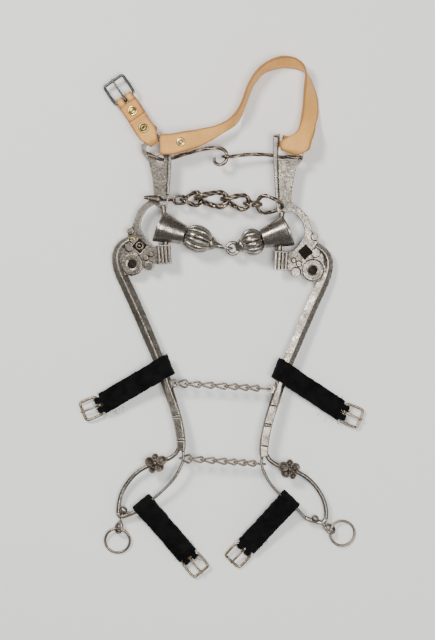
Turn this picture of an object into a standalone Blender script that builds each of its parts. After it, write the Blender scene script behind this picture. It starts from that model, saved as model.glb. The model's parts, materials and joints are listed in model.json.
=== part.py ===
"""Long-shanked curb bit with curb chain, shank chains, linked rods, velvet straps and a leather strap.

Lengths below are millimetres; meshes are written in metres.  The bit lies flat on its
mouthpiece bells: X runs across the bit, +Y towards the headstall, +Z up from the floor.
Each cheek has its own plane: u inward, v along its swing line, w out of the plate.
"""
import math

import bmesh
import bpy
from mathutils import Matrix, Vector

MM = 0.001
CENTRE = Vector((0.81, -1.55, -0.1))      # moves the finished part onto its box centre

# driving dimensions of the bit
AXIS_Z = 16.2            # height of the swing lines and of the fold line over the floor
HALF_SPAN = 57.7         # swing line to middle, at the mouthpiece
PIVOT_Y = {"left": 90.0, "right": 84.0}
LEAN = math.radians(3.74)    # swing lines close in towards the rein end
DROOP = math.radians(9.0)    # cheeks rest turned down on their outer edge
FOLD_X = 4.5             # every cross link is jointed on this line
PLATE = 3.5              # thickness of the cheek plate
BAR_R = 2.8              # banquet bar the bell turns on
BELL_R = 16.0
STEM_R = 3.6
ROD_R = 1.7
CHAIN_R = 1.0
RING_R, RING_WIRE = 12.4, 1.1
STRAP_T = 2.0            # leather
VELVET_W = 21.0

COLOURS = {
    "steel": ((0.36, 0.33, 0.29), 0.42, 1.0),
    "dark_iron": ((0.17, 0.14, 0.11), 0.55, 1.0),
    "brass": ((0.66, 0.52, 0.22), 0.35, 1.0),
    "leather": ((0.78, 0.50, 0.24), 0.55, 0.0),
    "velvet": ((0.008, 0.008, 0.009), 0.95, 0.0),
}


def clear_scene():
    for old in list(bpy.data.objects):
        bpy.data.objects.remove(old, do_unlink=True)


def material(name, look):
    colour, rough, metal = COLOURS[look]
    mat = bpy.data.materials.new(name + "_" + look)
    mat.use_nodes = True
    shader = mat.node_tree.nodes["Principled BSDF"]
    shader.inputs["Base Color"].default_value = (*colour, 1.0)
    shader.inputs["Roughness"].default_value = rough
    shader.inputs["Metallic"].default_value = metal
    return mat


def cheek_frame(side):
    """Matrix from a cheek's own (u, v, w) to the world, in mm."""
    s = 1.0 if side == "left" else -1.0
    cl, sl, cd, sd = math.cos(LEAN), math.sin(LEAN), math.cos(DROOP), math.sin(DROOP)
    u = Vector((s * cl * cd, sl * cd, sd))
    v = Vector((-s * sl, cl, 0.0))
    w = Vector((-s * cl * sd, -sl * sd, cd))
    m = Matrix((u, v, w)).transposed().to_4x4()
    m.translation = Vector((-s * HALF_SPAN, PIVOT_Y[side], AXIS_Z))
    return m


def place(side, u, v, w=0.0):
    return cheek_frame(side) @ Vector((u, v, w))


def turn(side, u, v, w=0.0):
    return (cheek_frame(side).to_3x3() @ Vector((u, v, w))).normalized()


# ---------------------------------------------------------------- shapes
def round_section(r, n=8, flat=1.0):
    return [(r * math.cos(2 * math.pi * (i + 0.5) / n), flat * r * math.sin(2 * math.pi * (i + 0.5) / n))
            for i in range(n)]


def tangents(pts, closed):
    n = len(pts)
    out = []
    for i in range(n):
        a = pts[(i - 1) % n] if closed or i else pts[0]
        b = pts[(i + 1) % n] if closed or i < n - 1 else pts[-1]
        out.append((b - a).normalized())
    return out


def frames(pts, closed, up):
    """Side vectors across a path: held to `up`, or carried along it without twisting."""
    tans = tangents(pts, closed)
    if up is not None:
        return tans, [(up - t * up.dot(t)).normalized() for t in tans]
    seed = Vector((0, 0, 1)) if abs(tans[0].z) < 0.8 else Vector((0, 1, 0))
    side = (seed - tans[0] * seed.dot(tans[0])).normalized()
    sides = []
    for t in tans:
        side = (side - t * side.dot(t)).normalized()
        sides.append(side)
    if closed:
        last = (sides[-1] - tans[0] * sides[-1].dot(tans[0])).normalized()
        slip = math.atan2(sides[0].cross(last).dot(tans[0]), sides[0].dot(last))
        n = len(pts)
        sides = [Matrix.Rotation(-slip * i / n, 3, tans[i]) @ sides[i] for i in range(n)]
    return tans, sides


def skin(bm, rings, closed):
    """Faces between rings of vertices, with end caps on an open run."""
    n, m = len(rings), len(rings[0])
    for i in range(n if closed else n - 1):
        a, b = rings[i], rings[(i + 1) % n]
        for j in range(m):
            bm.faces.new((a[j], a[(j + 1) % m], b[(j + 1) % m], b[j]))
    if not closed:
        bm.faces.new(list(reversed(rings[0])))
        bm.faces.new(rings[-1])


def sweep(pts, section, closed=False, up=None, scale=None):
    """Solid carried along points; `section` is one outline or one outline per point."""
    pts = [Vector(p) for p in pts]
    tans, sides = frames(pts, closed, up)
    bm = bmesh.new()
    rings = []
    for i, p in enumerate(pts):
        outline = section[i] if isinstance(section[0], list) else section
        k = scale[i] if scale else 1.0
        across = tans[i].cross(sides[i])
        rings.append([bm.verts.new(p + across * (x * k) + sides[i] * (y * k)) for x, y in outline])
    skin(bm, rings, closed)
    return bm


def smooth_path(pts, per=3):
    """Catmull-Rom points through the given ones."""
    pts = [Vector(p) for p in pts]
    out = []
    for i in range(len(pts) - 1):
        a, b, c, d = pts[max(i - 1, 0)], pts[i], pts[i + 1], pts[min(i + 2, len(pts) - 1)]
        for j in range(per):
            t = j / per
            out.append(0.5 * ((2 * b) + (c - a) * t + (2 * a - 5 * b + 4 * c - d) * t * t
                              + (3 * b - a - 3 * c + d) * t ** 3))
    out.append(pts[-1])
    return out


def lathe(profile, start, axis, segs=24, ribs=0, depth=0.0):
    """Turned solid from (along, radius) points; points with no radius close it on the axis."""
    start, axis = Vector(start), Vector(axis).normalized()
    x = axis.orthogonal().normalized()
    if abs(axis.z) < 0.9:
        x = (Vector((0, 0, 1)) - axis * axis.z).normalized()
    y = axis.cross(x)
    bm = bmesh.new()
    rings = []
    for s, r in profile:
        c = start + axis * s
        if r <= 1e-6:
            rings.append([bm.verts.new(c)])
            continue
        ring = []
        for i in range(segs):
            a = 2 * math.pi * i / segs
            k = 1.0 - depth * (0.5 - 0.5 * math.cos(ribs * a)) if ribs and r > 5 else 1.0
            ring.append(bm.verts.new(c + (x * math.cos(a) + y * math.sin(a)) * (r * k)))
        rings.append(ring)
    open_ends = len(rings[0]) == 1
    for i in range(len(rings) - (1 if open_ends else 0)):
        a, b = rings[i], rings[(i + 1) % len(rings)]
        for j in range(segs):
            k = (j + 1) % segs
            if len(a) == 1:
                bm.faces.new((a[0], b[k], b[j]))
            elif len(b) == 1:
                bm.faces.new((a[j], a[k], b[0]))
            else:
                bm.faces.new((a[j], a[k], b[k], b[j]))
    return bm


def plate(outline, low, high, matrix):
    """Flat plate from an outline, between two heights of a frame."""
    bm = bmesh.new()
    a = [bm.verts.new(matrix @ Vector((x, y, low))) for x, y in outline]
    b = [bm.verts.new(matrix @ Vector((x, y, high))) for x, y in outline]
    n = len(outline)
    for i in range(n):
        bm.faces.new((a[i], a[(i + 1) % n], b[(i + 1) % n], b[i]))
    bm.faces.new(list(reversed(a)))
    bm.faces.new(b)
    return bm


def ribbon(edge_a, edge_b, thick):
    """Band between two edge lines, thickened evenly about its middle surface."""
    edge_a, edge_b = [Vector(p) for p in edge_a], [Vector(p) for p in edge_b]
    mids = [(a + b) / 2 for a, b in zip(edge_a, edge_b)]
    tans = tangents(mids, False)
    bm = bmesh.new()
    rings = []
    for a, b, t in zip(edge_a, edge_b, tans):
        n = (b - a).cross(t).normalized() * (thick / 2)
        rings.append([bm.verts.new(p) for p in (a + n, b + n, b - n, a - n)])
    skin(bm, rings, False)
    return bm


def disc(r, low, high, matrix, x=0.0, y=0.0, n=20):
    return plate([(x + r * math.cos(2 * math.pi * i / n), y + r * math.sin(2 * math.pi * i / n))
                  for i in range(n)], low, high, matrix)


def ball(centre, r, axis, segs=12):
    prof = [(-r * math.cos(math.pi * i / 8), r * math.sin(math.pi * i / 8)) for i in range(9)]
    prof[0], prof[-1] = (-r, 0.0), (r, 0.0)
    return lathe(prof, centre, axis, segs)


# ---------------------------------------------------------------- objects
def make(name, bm, look, origin=(0, 0, 0), smooth=True):
    """Object in metres with its origin on its joint."""
    origin = Vector(origin)
    bmesh.ops.recalc_face_normals(bm, faces=bm.faces)
    for v in bm.verts:
        v.co = (v.co - origin) * MM
    for f in bm.faces:
        f.smooth = smooth
    mesh = bpy.data.meshes.new(name)
    bm.to_mesh(mesh)
    bm.free()
    ob = bpy.data.objects.new(name, mesh)
    bpy.context.scene.collection.objects.link(ob)
    ob.location = (origin + CENTRE) * MM
    ob.data.materials.append(material(name, look))
    return ob


def bake(ob, kind, operand):
    """Join, cut or intersect one closed body with another."""
    operand.hide_render = True
    operand.display_type = "WIRE"
    mod = ob.modifiers.new(kind.title(), "BOOLEAN")
    mod.operation, mod.object, mod.solver = kind, operand, "EXACT"
    bpy.context.view_layer.update()
    graph = bpy.context.evaluated_depsgraph_get()
    mesh = bpy.data.meshes.new_from_object(ob.evaluated_get(graph))
    ob.modifiers.clear()
    old, ob.data = ob.data, mesh
    bpy.data.meshes.remove(old)
    bpy.data.objects.remove(operand, do_unlink=True)
    keep = ob.data.materials[0]
    ob.data.materials.clear()
    ob.data.materials.append(keep)


def join(ob, *shapes):
    for bm in shapes:
        bake(ob, "UNION", make(ob.name + "_add", bm, "steel", (ob.location / MM) - CENTRE))


def cut(ob, *shapes):
    for bm in shapes:
        bake(ob, "DIFFERENCE", make(ob.name + "_cut", bm, "steel", (ob.location / MM) - CENTRE))


# ---------------------------------------------------------------- cheeks
BRANCH_TOP = {"left": [(-18, 77), (-18, 86.2), (-2, 95.4), (7.8, 92.6), (13.5, 90.5)],
              "right": [(-18, 77), (-18, 86.2), (6.2, 91.8), (7.2, 100.6), (13.5, 99)]}
BRANCH = [(12.4, 80), (11, 68), (9, 50), (7, 34), (4, 21),
          (-4, 21), (-9, 25), (-16.5, 20.6), (-21.8, 13.6), (-24.4, 6.5), (-24.5, 1.5), (-21.5, -5),
          (-17, -12), (-13, -16), (4.2, -16), (4.2, -35), (-8.5, -35), (-13, -34), (-18, -40.5),
          (-24, -37), (-29, -43), (-36, -45), (-43, -43), (-47, -30), (-44, -16), (-38, -6), (-36.5, 3),
          (-32.5, 4.5), (-29.8, 12), (-25.5, 21), (-19, 27), (-12, 30.6), (-8.5, 34), (-8.8, 50), (-11.6, 68)]
EYE = {"left": [(-13.5, 74.5), (7.6, 74.5), (7.6, 88.4), (-1.6, 90.5), (-13.5, 83.6)],
       "right": [(-13.5, 74.5), (7.6, 74.5), (7.6, 87.8), (-13.5, 82.9)]}
SHANK = [(-36, -9, 4.6), (-44.5, -13.5, 5.0), (-50, -23, 5.6), (-49, -37, 6.0), (-43.5, -52, 6.3), (-37.5, -67, 6.4),
         (-30.5, -86, 6.4), (-23, -107, 6.3), (-16, -127, 6.0), (-10.5, -145, 5.6), (-6.5, -162, 5.3),
         (-3, -176, 5.0), (0.2, -190, 4.9), (2.2, -205, 4.9), (2.5, -216, 4.8), (1.6, -222, 4.2)]
LOOP_OUT = [(0.5, -218), (-4, -225), (-13, -230), (-24.5, -233), (-36, -236.8), (-47, -243.5), (-56, -253),
            (-62, -263), (-65, -273.5)]
LOOP_IN = [(3.4, -215), (3.9, -229), (0, -239), (-7, -249.5), (-16, -258), (-26, -266), (-36, -273)]
SWIVEL = {"left": ((-60.4, -278.2), (-0.32, -0.947)), "right": ((-54.2, -281.2), (-0.86, -0.51))}
LOOP_END = {"left": ((-66, -281), (-46, -280), (-56, -286.5)), "right": ((-65, -281), (-44, -281), (-53, -288.5))}


def shank_section(width, ridge, thick):
    """Six-sided bar section: a sharp ridge near the boss that opens to a flat face lower down."""
    top = width * ridge
    return [(width, 0.0), (top, thick), (-top, thick), (-width, 0.0), (-top, -thick), (top, -thick)]


def shank(side):
    m = cheek_frame(side)
    widths = smooth_path([(w, 0, 0) for _, _, w in SHANK], 2)
    pts = smooth_path([(u, v, 0) for u, v, _ in SHANK], 2)
    n = len(pts)
    sections = []
    for i, w in enumerate(widths):
        t = i / (n - 1)
        ridge = 0.10 + 0.62 * min(1.0, max(0.0, (t - 0.55) / 0.2))
        sections.append(shank_section(w.x, ridge, 3.7 - 1.1 * t))
    return sweep([m @ p for p in pts], sections, up=turn(side, 0, 0, 1))


def loop_bar(side, pts, wide, high):
    m = cheek_frame(side)
    path = [m @ p for p in smooth_path([(u, v, 0) for u, v in pts], 2)]
    outline = [(wide * x, high * y) for x, y in round_section(1.0, 6)]
    return sweep(path, outline, up=turn(side, 0, 0, 1))


def cheek(side):
    """Branch, bow round the bell, banquet bar, boss plate, shank and split loop as one forging."""
    m = cheek_frame(side)
    name = side + "_cheek"
    ob = make(name, plate(BRANCH_TOP[side] + BRANCH, -PLATE / 2, PLATE / 2, m), "steel", place(side, 0, 0), smooth=False)
    cut(ob, plate(EYE[side], -4, 4, m))
    bar = lathe([(-38, 0), (-38, BAR_R), (2, BAR_R), (2, 0)], place(side, 0, 21), turn(side, 0, 1, 0), 16)
    join(ob, bar, shank(side), disc(10.5, -2.9, 3.4, m, -35, -33), disc(3.6, -2.2, 3.0, m, -34.6, 0.4, 12),
         disc(4.4, -2.2, 2.9, m, -36.6, -15.6, 12), disc(4.6, -2.2, 2.7, m, -18, -36, 14),
         plate([(-8.3, -16.2), (4.4, -16.2), (4.4, -35.2), (-8.3, -35.2)], -3.2, 3.2, m))
    join(ob, loop_bar(side, LOOP_OUT + [LOOP_END[side][0]], 2.5, 2.2),
         loop_bar(side, LOOP_IN + [LOOP_END[side][1]], 1.7, 1.7), rein_end(side),
         disc(5.0, -2.1, 2.1, m, -24.5, -233, 14), disc(4.6, -1.5, 1.5, m, -1.0, -154.3, 16))
    # socket in the disc, square seat of the lost boss, grooves in the moulded block
    cut(ob, disc(4.4, 1.6, 6, m, -35, -33, 16),
        plate([(-26.3, -23), (-18.7, -15.3), (-26.3, -7.7), (-33.9, -15.3)], 0.7, 5, m))
    cut(ob, *[plate([(u - 0.7, -17.5), (u + 0.7, -17.5), (u + 0.7, -34), (u - 0.7, -34)], 2.4, 5, m)
              for u in (-5.6, -2.0, 1.6)])
    # holes: curb chain, rod hook, rosette pin, upper chain ring, rein swivel
    hook_v = 69.5 if side == "left" else 29.0
    cut(ob, disc(4.1, -5, 5, m, 0, 29, 16), disc(1.6, -5, 5, m, -24.5, -233, 12),
        disc(2.5, -5, 5, m, 0, -154.3, 14))
    if side == "left":
        cut(ob, disc(4.3, -5, 5, m, 0, hook_v, 16))
        cut(ob, disc(1.7, -5, 5, m, -26.3, -15.3, 10))
    (bu, bv), (du, dv) = SWIVEL[side]
    cut(ob, lathe([(-4, 0), (-4, 2.1), (22, 2.1), (22, 0)], place(side, bu, bv), turn(side, du, dv, 0), 14),
        ball(place(side, bu, bv), 4.5, turn(side, du, dv, 0)))
    return ob


def rein_end(side):
    """Rounded end of the split loop that carries the swivel."""
    (bu, bv), (du, dv) = SWIVEL[side]
    a, b, c = LOOP_END[side]
    m = cheek_frame(side)
    path = [m @ p for p in smooth_path([(*a, 0), (bu + du * 6.9, bv + dv * 6.9, 0), (*b, 0)], 4)]
    return sweep(path, [(2.5 * x, 2.9 * y) for x, y in round_section(1.0, 8)], up=turn(side, 0, 0, 1))


# ---------------------------------------------------------------- mouthpiece
MOUTH = {"left": (Vector((-65.5, 93.0, AXIS_Z)), Vector((4.5, 70.5, AXIS_Z))),
         "right": (Vector((67.5, 89.0, AXIS_Z)), Vector((10.3, 70.5, AXIS_Z)))}


def canon(side):
    """Bell, stem and centre eye; the bell turns on the banquet bar."""
    rim, eye = MOUTH[side]
    axis = (eye - rim).normalized()
    reach = (eye - rim).length - (5.2 if side == "left" else 6.4)
    prof = [(24, 0), (24, 7.6), (14, 11.4), (0, 14.2), (0, BELL_R), (3.5, BELL_R - 0.1), (8, 14.6), (18, 12.2),
            (29, 9.6), (29, STEM_R), (56 if side == "left" else 50, STEM_R), (56 if side == "left" else 50, 7.4)]
    end = prof[-1][0]
    prof += [(end + 3.5, 6.2), (end + 7, 3.2), (reach, 2.2), (reach, 0)]
    ob = make(side + "_canon", lathe(prof, rim, axis, 28), "steel", place("left", 0, 0) if side == "left"
              else Vector((FOLD_X, 70.5, AXIS_Z)))
    if side == "left":
        eye_ring = ring(eye, Vector((1, 0, 0)), Vector((0, 0, 1)), 4.4, 1.7, 20, 8)
    else:
        eye_ring = ring(eye, Vector((1, 0, 0)), Vector((0, 1, 0)), 5.8, 1.9, 24, 8)
    join(ob, eye_ring)
    cut(ob, lathe([(-40, 0), (-40, 3.6), (40, 3.6), (40, 0)], place(side, 0, 0), turn(side, 0, 1, 0), 16))
    return ob


def ring(centre, x, y, r, wire, n=24, m=8):
    pts = [centre + x * (r * math.cos(2 * math.pi * i / n)) + y * (r * math.sin(2 * math.pi * i / n))
           for i in range(n)]
    return sweep(pts, round_section(wire, m), closed=True, up=x.cross(y))


def melon(side):
    """Ribbed roller that spins on the stem."""
    rim, eye = MOUTH[side]
    a, b = (29.4, 55.6) if side == "left" else (29.4, 49.6)
    mid, half = (a + b) / 2, (b - a) / 2
    prof = [(a, STEM_R + 0.5), (a, 8.6)]
    for t in (-0.75, -0.4, 0.0, 0.4, 0.75):
        prof.append((mid + half * t, 13.9 - 5.3 * abs(t) ** 2.3))
    prof += [(b, 8.6), (b, STEM_R + 0.5)]
    return make(side + "_melon", lathe(prof, rim, eye - rim, 24, 12, 0.07), "steel", rim + (eye - rim).normalized() * a)


# ---------------------------------------------------------------- links
def link(name, start, end, wire, half, angles, look="dark_iron", pinch=0.0, n=20, m=6):
    """Closed wire link between two bend points; its plane turns from one angle to the other."""
    start, end = Vector(start), Vector(end)
    along = (end - start).normalized()
    length = (end - start).length
    flat = along.cross(Vector((0, 0, 1))).normalized()
    tall = flat.cross(along)
    r = min(half, length / 2)
    straight = length / 2 - r
    total = 4 * straight + 2 * math.pi * r
    pts = []
    for i in range(n):
        d = total * i / n
        if d < math.pi * r:
            a = d / r - math.pi / 2
            s, h = straight + r * math.cos(a), half * math.sin(a)
        elif d < math.pi * r + 2 * straight:
            s, h = straight - (d - math.pi * r), half
        elif d < 2 * math.pi * r + 2 * straight:
            a = (d - math.pi * r - 2 * straight) / r + math.pi / 2
            s, h = -straight + r * math.cos(a), half * math.sin(a)
        else:
            s, h = -straight + (d - 2 * math.pi * r - 2 * straight), -half
        t = s / length + 0.5
        t = t * t * (3 - 2 * t)
        ang = math.radians(angles[0] + (angles[1] - angles[0]) * t)
        h *= 1.0 - pinch * math.cos(math.pi * s / length) ** 2
        pts.append((start + end) / 2 + along * s + (flat * math.cos(ang) + tall * math.sin(ang)) * h)
    return make(name, sweep(pts, round_section(wire, m), closed=True), look, (start + end) / 2)


def shank_chain(name, v, lead, tall, count=4):
    """Chain between the shanks, hooked on both swing lines and jointed on the fold line."""
    ends = {s: place(s, 0, v) for s in ("left", "right")}
    whole = ends["right"] - ends["left"]
    mid = ends["left"] + whole * ((FOLD_X - ends["left"].x) / whole.x)
    grip = 2 * CHAIN_R + 0.5
    for side, a, b in (("left", ends["left"], mid), ("right", mid, ends["right"])):
        step = (b - a) / count
        unit = step.normalized()
        for i in range(count):
            p, q = a + step * i, a + step * (i + 1)
            if i or side == "right":
                p = p - unit * grip
            angles = (90, 0)
            if side == "right" and i == count - 1:
                angles = (90, 90)
            if side == "left" and i == 0:
                p = p - unit * lead
            if side == "right" and i == count - 1:
                q = q + unit * lead
            outer = (side == "left" and i == 0) or (side == "right" and i == count - 1)
            link(f"{name}_{side}_link_{i + 1}", p, q, CHAIN_R, tall if outer else 3.1, angles, pinch=0.25, n=14, m=5)


def curb_chain():
    """Leaf hook and five heavy twisted links from cheek to cheek."""
    hole = place("left", 0, 29)
    far = place("right", 0, 29)
    y0 = hole.y
    z = AXIS_Z
    stem = smooth_path([hole + Vector((-19, -0.5 + 2.6, 4.6)), hole + Vector((-11, 1.8, 4.7)),
                        hole + Vector((-4, 0.6, 4.6)), hole + Vector((-0.8, 0, 2.4)), hole + Vector((0, 0, 0)),
                        hole + Vector((0.8, 0, -2.6)), hole + Vector((4, 0, -4.5)), hole + Vector((9, 0, -3.4)),
                        hole + Vector((12.5, 0, -1.2))], 2)
    sections = []
    for i in range(len(stem)):
        t = i / (len(stem) - 1)
        leaf = math.sin(math.pi * min(1.0, t / 0.42)) if t < 0.42 else 0.0
        sections.append([((1.4 + 1.7 * leaf) * x, (1.35 - 0.3 * leaf) * y) for x, y in round_section(1.0, 8)])
    hook = make("curb_hook", sweep(stem, sections), "dark_iron", hole)
    eye_pts = []
    a, b, half = hole.x + 8.8 + 1.9, -35.9, 3.9
    n = 22
    for i in range(n):
        t = 2 * math.pi * i / n
        k = math.copysign(abs(math.cos(t)) ** 0.7, math.cos(t))
        h = math.copysign(abs(math.sin(t)) ** 0.8, math.sin(t))
        eye_pts.append(Vector(((a + b) / 2 + (b - a) / 2 * k, y0 + half * h, z - 0.6 + 0.5 * k)))
    join(hook, sweep(eye_pts, round_section(1.45, 8), closed=True))
    fold = Vector((FOLD_X, 119.0, z))
    joints = [Vector((-36.5, y0, z)), Vector((-21.0, 120.2, z)), fold, Vector((26.5, 115.5, z)),
              Vector((38.5, 114.6, z)), far]
    wires = [2.3, 2.6, 2.2, 1.9, 1.8]
    halves = [8.0, 7.0, 7.6, 5.4, 9.6]
    turns = [(80, 15), (105, 180), (90, 165), (75, 75), (-15, -65)]
    for i in range(5):
        a, b = joints[i].copy(), joints[i + 1].copy()
        unit = (b - a).normalized()
        back = wires[i] + (wires[i - 1] if i else 1.45) + (0.5 if i else 0.8)
        a -= unit * back
        if i == 0:
            a = Vector((-36.0 - back, y0, z))
        link(f"curb_link_{i + 1}", a, b, wires[i], halves[i], turns[i], n=20, m=6)


def top_rods():
    """Two rods hooked together on the fold line; their outer ends hook through the cheek eyes."""
    z = AXIS_Z
    lh = place("left", 0, 69.5)
    left = smooth_path([(lh.x - 14, lh.y + 6, 21.6), (lh.x - 7, lh.y + 3, 21.6), (lh.x - 2.4, lh.y + 0.6, 21.0),
                        (lh.x, lh.y, 18.4), (lh.x, lh.y, 14.4), (lh.x + 2.2, lh.y, 11.6), (lh.x + 8, lh.y, 11.0),
                        (-50, 160.6, 11.2), (-40, 164.0, 13.2), (-23, 168.5, z), (-10, 170.9, z), (-1.8, 170.2, z),
                        (3.0, 167.2, z), (FOLD_X, 162, z), (2.6, 156.6, z), (-3.2, 153.8, z), (-8.0, 157.0, z),
                        (-7.4, 161.4, z)], 2)
    make("left_top_rod", sweep(left, round_section(ROD_R, 8)), "dark_iron", Vector((FOLD_X, 162, z)))
    rh = place("right", 0, 78)
    right = smooth_path([(8.3, 162, z), (17.5, 163.4, z), (31, 164.4, z - 0.8), (42, 164.2, 13.0), (48, 163.8, 11.4),
                         (rh.x - 4, rh.y, 11.2), (rh.x - 0.8, rh.y, 12.8), (rh.x, rh.y, 15.6),
                         (rh.x + 0.4, rh.y, 19), (rh.x + 3.2, rh.y - 0.3, 21.4), (rh.x + 9, rh.y - 0.8, 21.6),
                         (rh.x + 17, rh.y - 1.4, 21.6)], 2)
    rod = make("right_top_rod", sweep(right, round_section(ROD_R, 8)), "dark_iron", Vector((FOLD_X, 162, z)))
    join(rod, ring(Vector((FOLD_X, 162, z)), Vector((1, 0, 0)), Vector((0, 0, 1)), 4.1, 1.6, 20, 8))


# ---------------------------------------------------------------- rein gear
RING_AT = {"left": ((-104.5, -217.0), 18.0), "right": ((118.5, -214.0), 18.0)}
SPIN = {"left": 50.0, "right": -46.0}


def swivel(side):
    """Ball-headed swivel: spins in the end of the split loop and carries the rein ring."""
    (bu, bv), (du, dv) = SWIVEL[side]
    head, axis = place(side, bu, bv), turn(side, du, dv, 0)
    ob = make(side + "_swivel", ball(head, 3.9, axis, 14), "steel", head)
    neck = lathe([(0, 0), (0, 1.55), (13.6, 1.55), (13.6, 0)], head, axis, 10)
    flat = axis.cross(Vector((0, 0, 1))).normalized()
    roll = Matrix.Rotation(math.radians(SPIN[side]), 3, axis)
    flat = roll @ flat
    pts = []
    for i in range(20):
        t = 2 * math.pi * i / 20
        wide = 4.6 * math.sin(t) * (1.0 + 0.22 * math.cos(t))
        pts.append(head + axis * (18.0 + 5.2 * math.cos(t)) + flat * wide)
    join(ob, neck, sweep(pts, round_section(1.6, 6), closed=True, up=axis.cross(flat)))
    return head + axis * 18.0, axis, flat


def rein_ring(side, eye, axis, flat):
    """Ring hung in the swivel eye, its far side down on the floor."""
    s = -1.0 if side == "left" else 1.0
    (cx, cy), _ = RING_AT[side]
    low = RING_WIRE + 0.1
    out = Vector((cx - eye.x, cy - eye.y, 0)).normalized()
    grip = eye + axis * 1.4
    rise = (grip.z - low) / (2 * RING_R)
    out3 = (out * math.sqrt(1 - rise * rise) + Vector((0, 0, -rise)))
    centre = grip + out3 * RING_R
    across = Vector((0, 0, 1)).cross(out).normalized()
    make(side + "_rein_ring", ring(centre, out3, across, RING_R, RING_WIRE, 24, 6), "steel", grip)


def rosette(side):
    """Five-leaved flower riveted on the outer bar of the split loop."""
    m = cheek_frame(side)
    outline = []
    for i in range(30):
        a = 2 * math.pi * i / 30
        r = 5.2 + 3.6 * abs(math.cos(2.5 * a)) ** 0.8
        outline.append((-24.5 + r * math.cos(a), -233 + r * math.sin(a)))
    ob = make(side + "_rosette", plate(outline, 2.5, 4.6, m), "dark_iron", place(side, -24.5, -233))
    join(ob, disc(2.6, 3.0, 6.2, m, -24.5, -233, 12), disc(1.2, -3.4, 4, m, -24.5, -233, 10),
         disc(2.6, -4.2, -2.5, m, -24.5, -233, 12))


# ---------------------------------------------------------------- straps and buckles
def strap_frame(point, bar, out, slope):
    """Frame at a strap pivot: x out along the strap, y along its bar, z out of its face."""
    y = bar.normalized()
    x = (out - y * out.dot(y)).normalized()
    if x.cross(y).z < 0:
        y = -y
    m = Matrix((x, y, x.cross(y))).transposed().to_4x4()
    m.translation = point
    return m @ Matrix.Rotation(math.radians(slope), 4, "Y")


def velvet(name, m, length, hole, wall, shear, width=VELVET_W):
    """Doubled band round a bar with a loop at its far end for the buckle bar."""
    hx, hz = hole
    ox, oz = hx + wall, hz + wall
    far = length - 3.0
    outline = [(far + 3.6 * math.cos(a), 3.2 * math.sin(a)) for a in (-1.9, -1.2, -0.6, 0, 0.6, 1.2, 1.9)]
    outline += [(far - 9, 2.5), (ox + 14, 2.5), (ox + 6, 3.4)]
    outline += [(ox * math.cos(a), oz * math.sin(a)) for a in
                [math.pi * k / 8 for k in range(2, 15)]]
    outline += [(ox + 6, -3.4), (ox + 14, -2.5), (far - 9, -2.5)]
    skew = Matrix(((1, 0, 0, 0), (0, 0, 1, 0), (0, 1, 0, 0), (0, 0, 0, 1)))
    lean = Matrix.Identity(4)
    lean[1][0] = shear
    pose = m @ lean @ skew
    ob = make(name, plate(outline, -width / 2, width / 2, pose), "velvet", m.translation)
    ring_hole = [(hx * math.cos(2 * math.pi * k / 16), hz * math.sin(2 * math.pi * k / 16)) for k in range(16)]
    cut(ob, plate(ring_hole, -width, width, pose))
    cut(ob, plate([(far + 1.75 * math.cos(2 * math.pi * k / 12), 1.75 * math.sin(2 * math.pi * k / 12))
                   for k in range(12)], -width, width, pose))
    bar_frame = m @ Matrix.Translation((far, shear * far, 0))
    box = lambda x0, x1, y0, y1: plate([(x0, y0), (x1, y0), (x1, y1), (x0, y1)], -8, 8, bar_frame)
    cut(ob, box(-5.2, 8, -2.4, 2.4), box(-4.4, 8, width / 2 - 2.4, width), box(-4.4, 8, -width, 2.4 - width / 2))
    return bar_frame


def buckle(name, m, width, reach, wire=1.2, look="brass"):
    """Rounded rectangular frame hung on the strap end, with a tongue on the same bar."""
    w = width / 2 - wire
    c = 2.2
    pts = [(0, -w + c), (0, 0), (0, w - c), (c * 0.3, w - c * 0.3), (c, w), (reach / 2, w + 0.3), (reach - c, w),
           (reach - c * 0.3, w - c * 0.3), (reach, w - c), (reach, 0), (reach, -w + c),
           (reach - c * 0.3, -w + c * 0.3), (reach - c, -w), (reach / 2, -w - 0.3), (c, -w), (c * 0.3, -w + c * 0.3)]
    up = (m.to_3x3() @ Vector((0, 0, 1))).normalized()
    make(name, sweep([m @ Vector((x, y, 0)) for x, y in pts], round_section(wire, 6), closed=True, up=up), look,
         m.translation)
    x, z = (m.to_3x3() @ Vector((1, 0, 0))).normalized(), up
    y = z.cross(x)
    tongue = make(name + "_tongue", ring(m.translation, x, z, wire + 1.3, 0.85, 12, 6), look, m.translation)
    lift = wire + 1.15
    path = smooth_path([m @ Vector(p) for p in ((2.3, 0, 1.2), (5, 0, lift + 0.4), (reach * 0.6, 0, lift + 0.5),
                                                (reach - 1, 0, lift + 0.1), (reach + 1.6, 0, lift - 0.2))], 1)
    join(tongue, sweep(path, round_section(0.85, 6), up=y))


VELVETS = {
    "left_upper": ("left", (-12.6, -139.5), (0.3125, -0.95), (-0.95, -0.3125), 1.6, 75, (8.6, 5.9), 2.4, 0.144),
    "right_upper": ("right", (-13.2, -137.5), (0.3125, -0.95), (-0.95, -0.3125), 1.2, 74, (8.6, 5.9), 2.4, 0.20),
    "left_lower": ("left", (-38.6, -274.8), (0.82, 0.57), (0.6, -0.8), 0.0, 73, (4.9, 4.6), 2.0, -0.02),
    "right_lower": ("right", (-25.5, -265.6), (0.78, 0.625), (0.625, -0.78), 0.0, 68, (4.6, 4.3), 2.0, 0.02),
}


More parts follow.
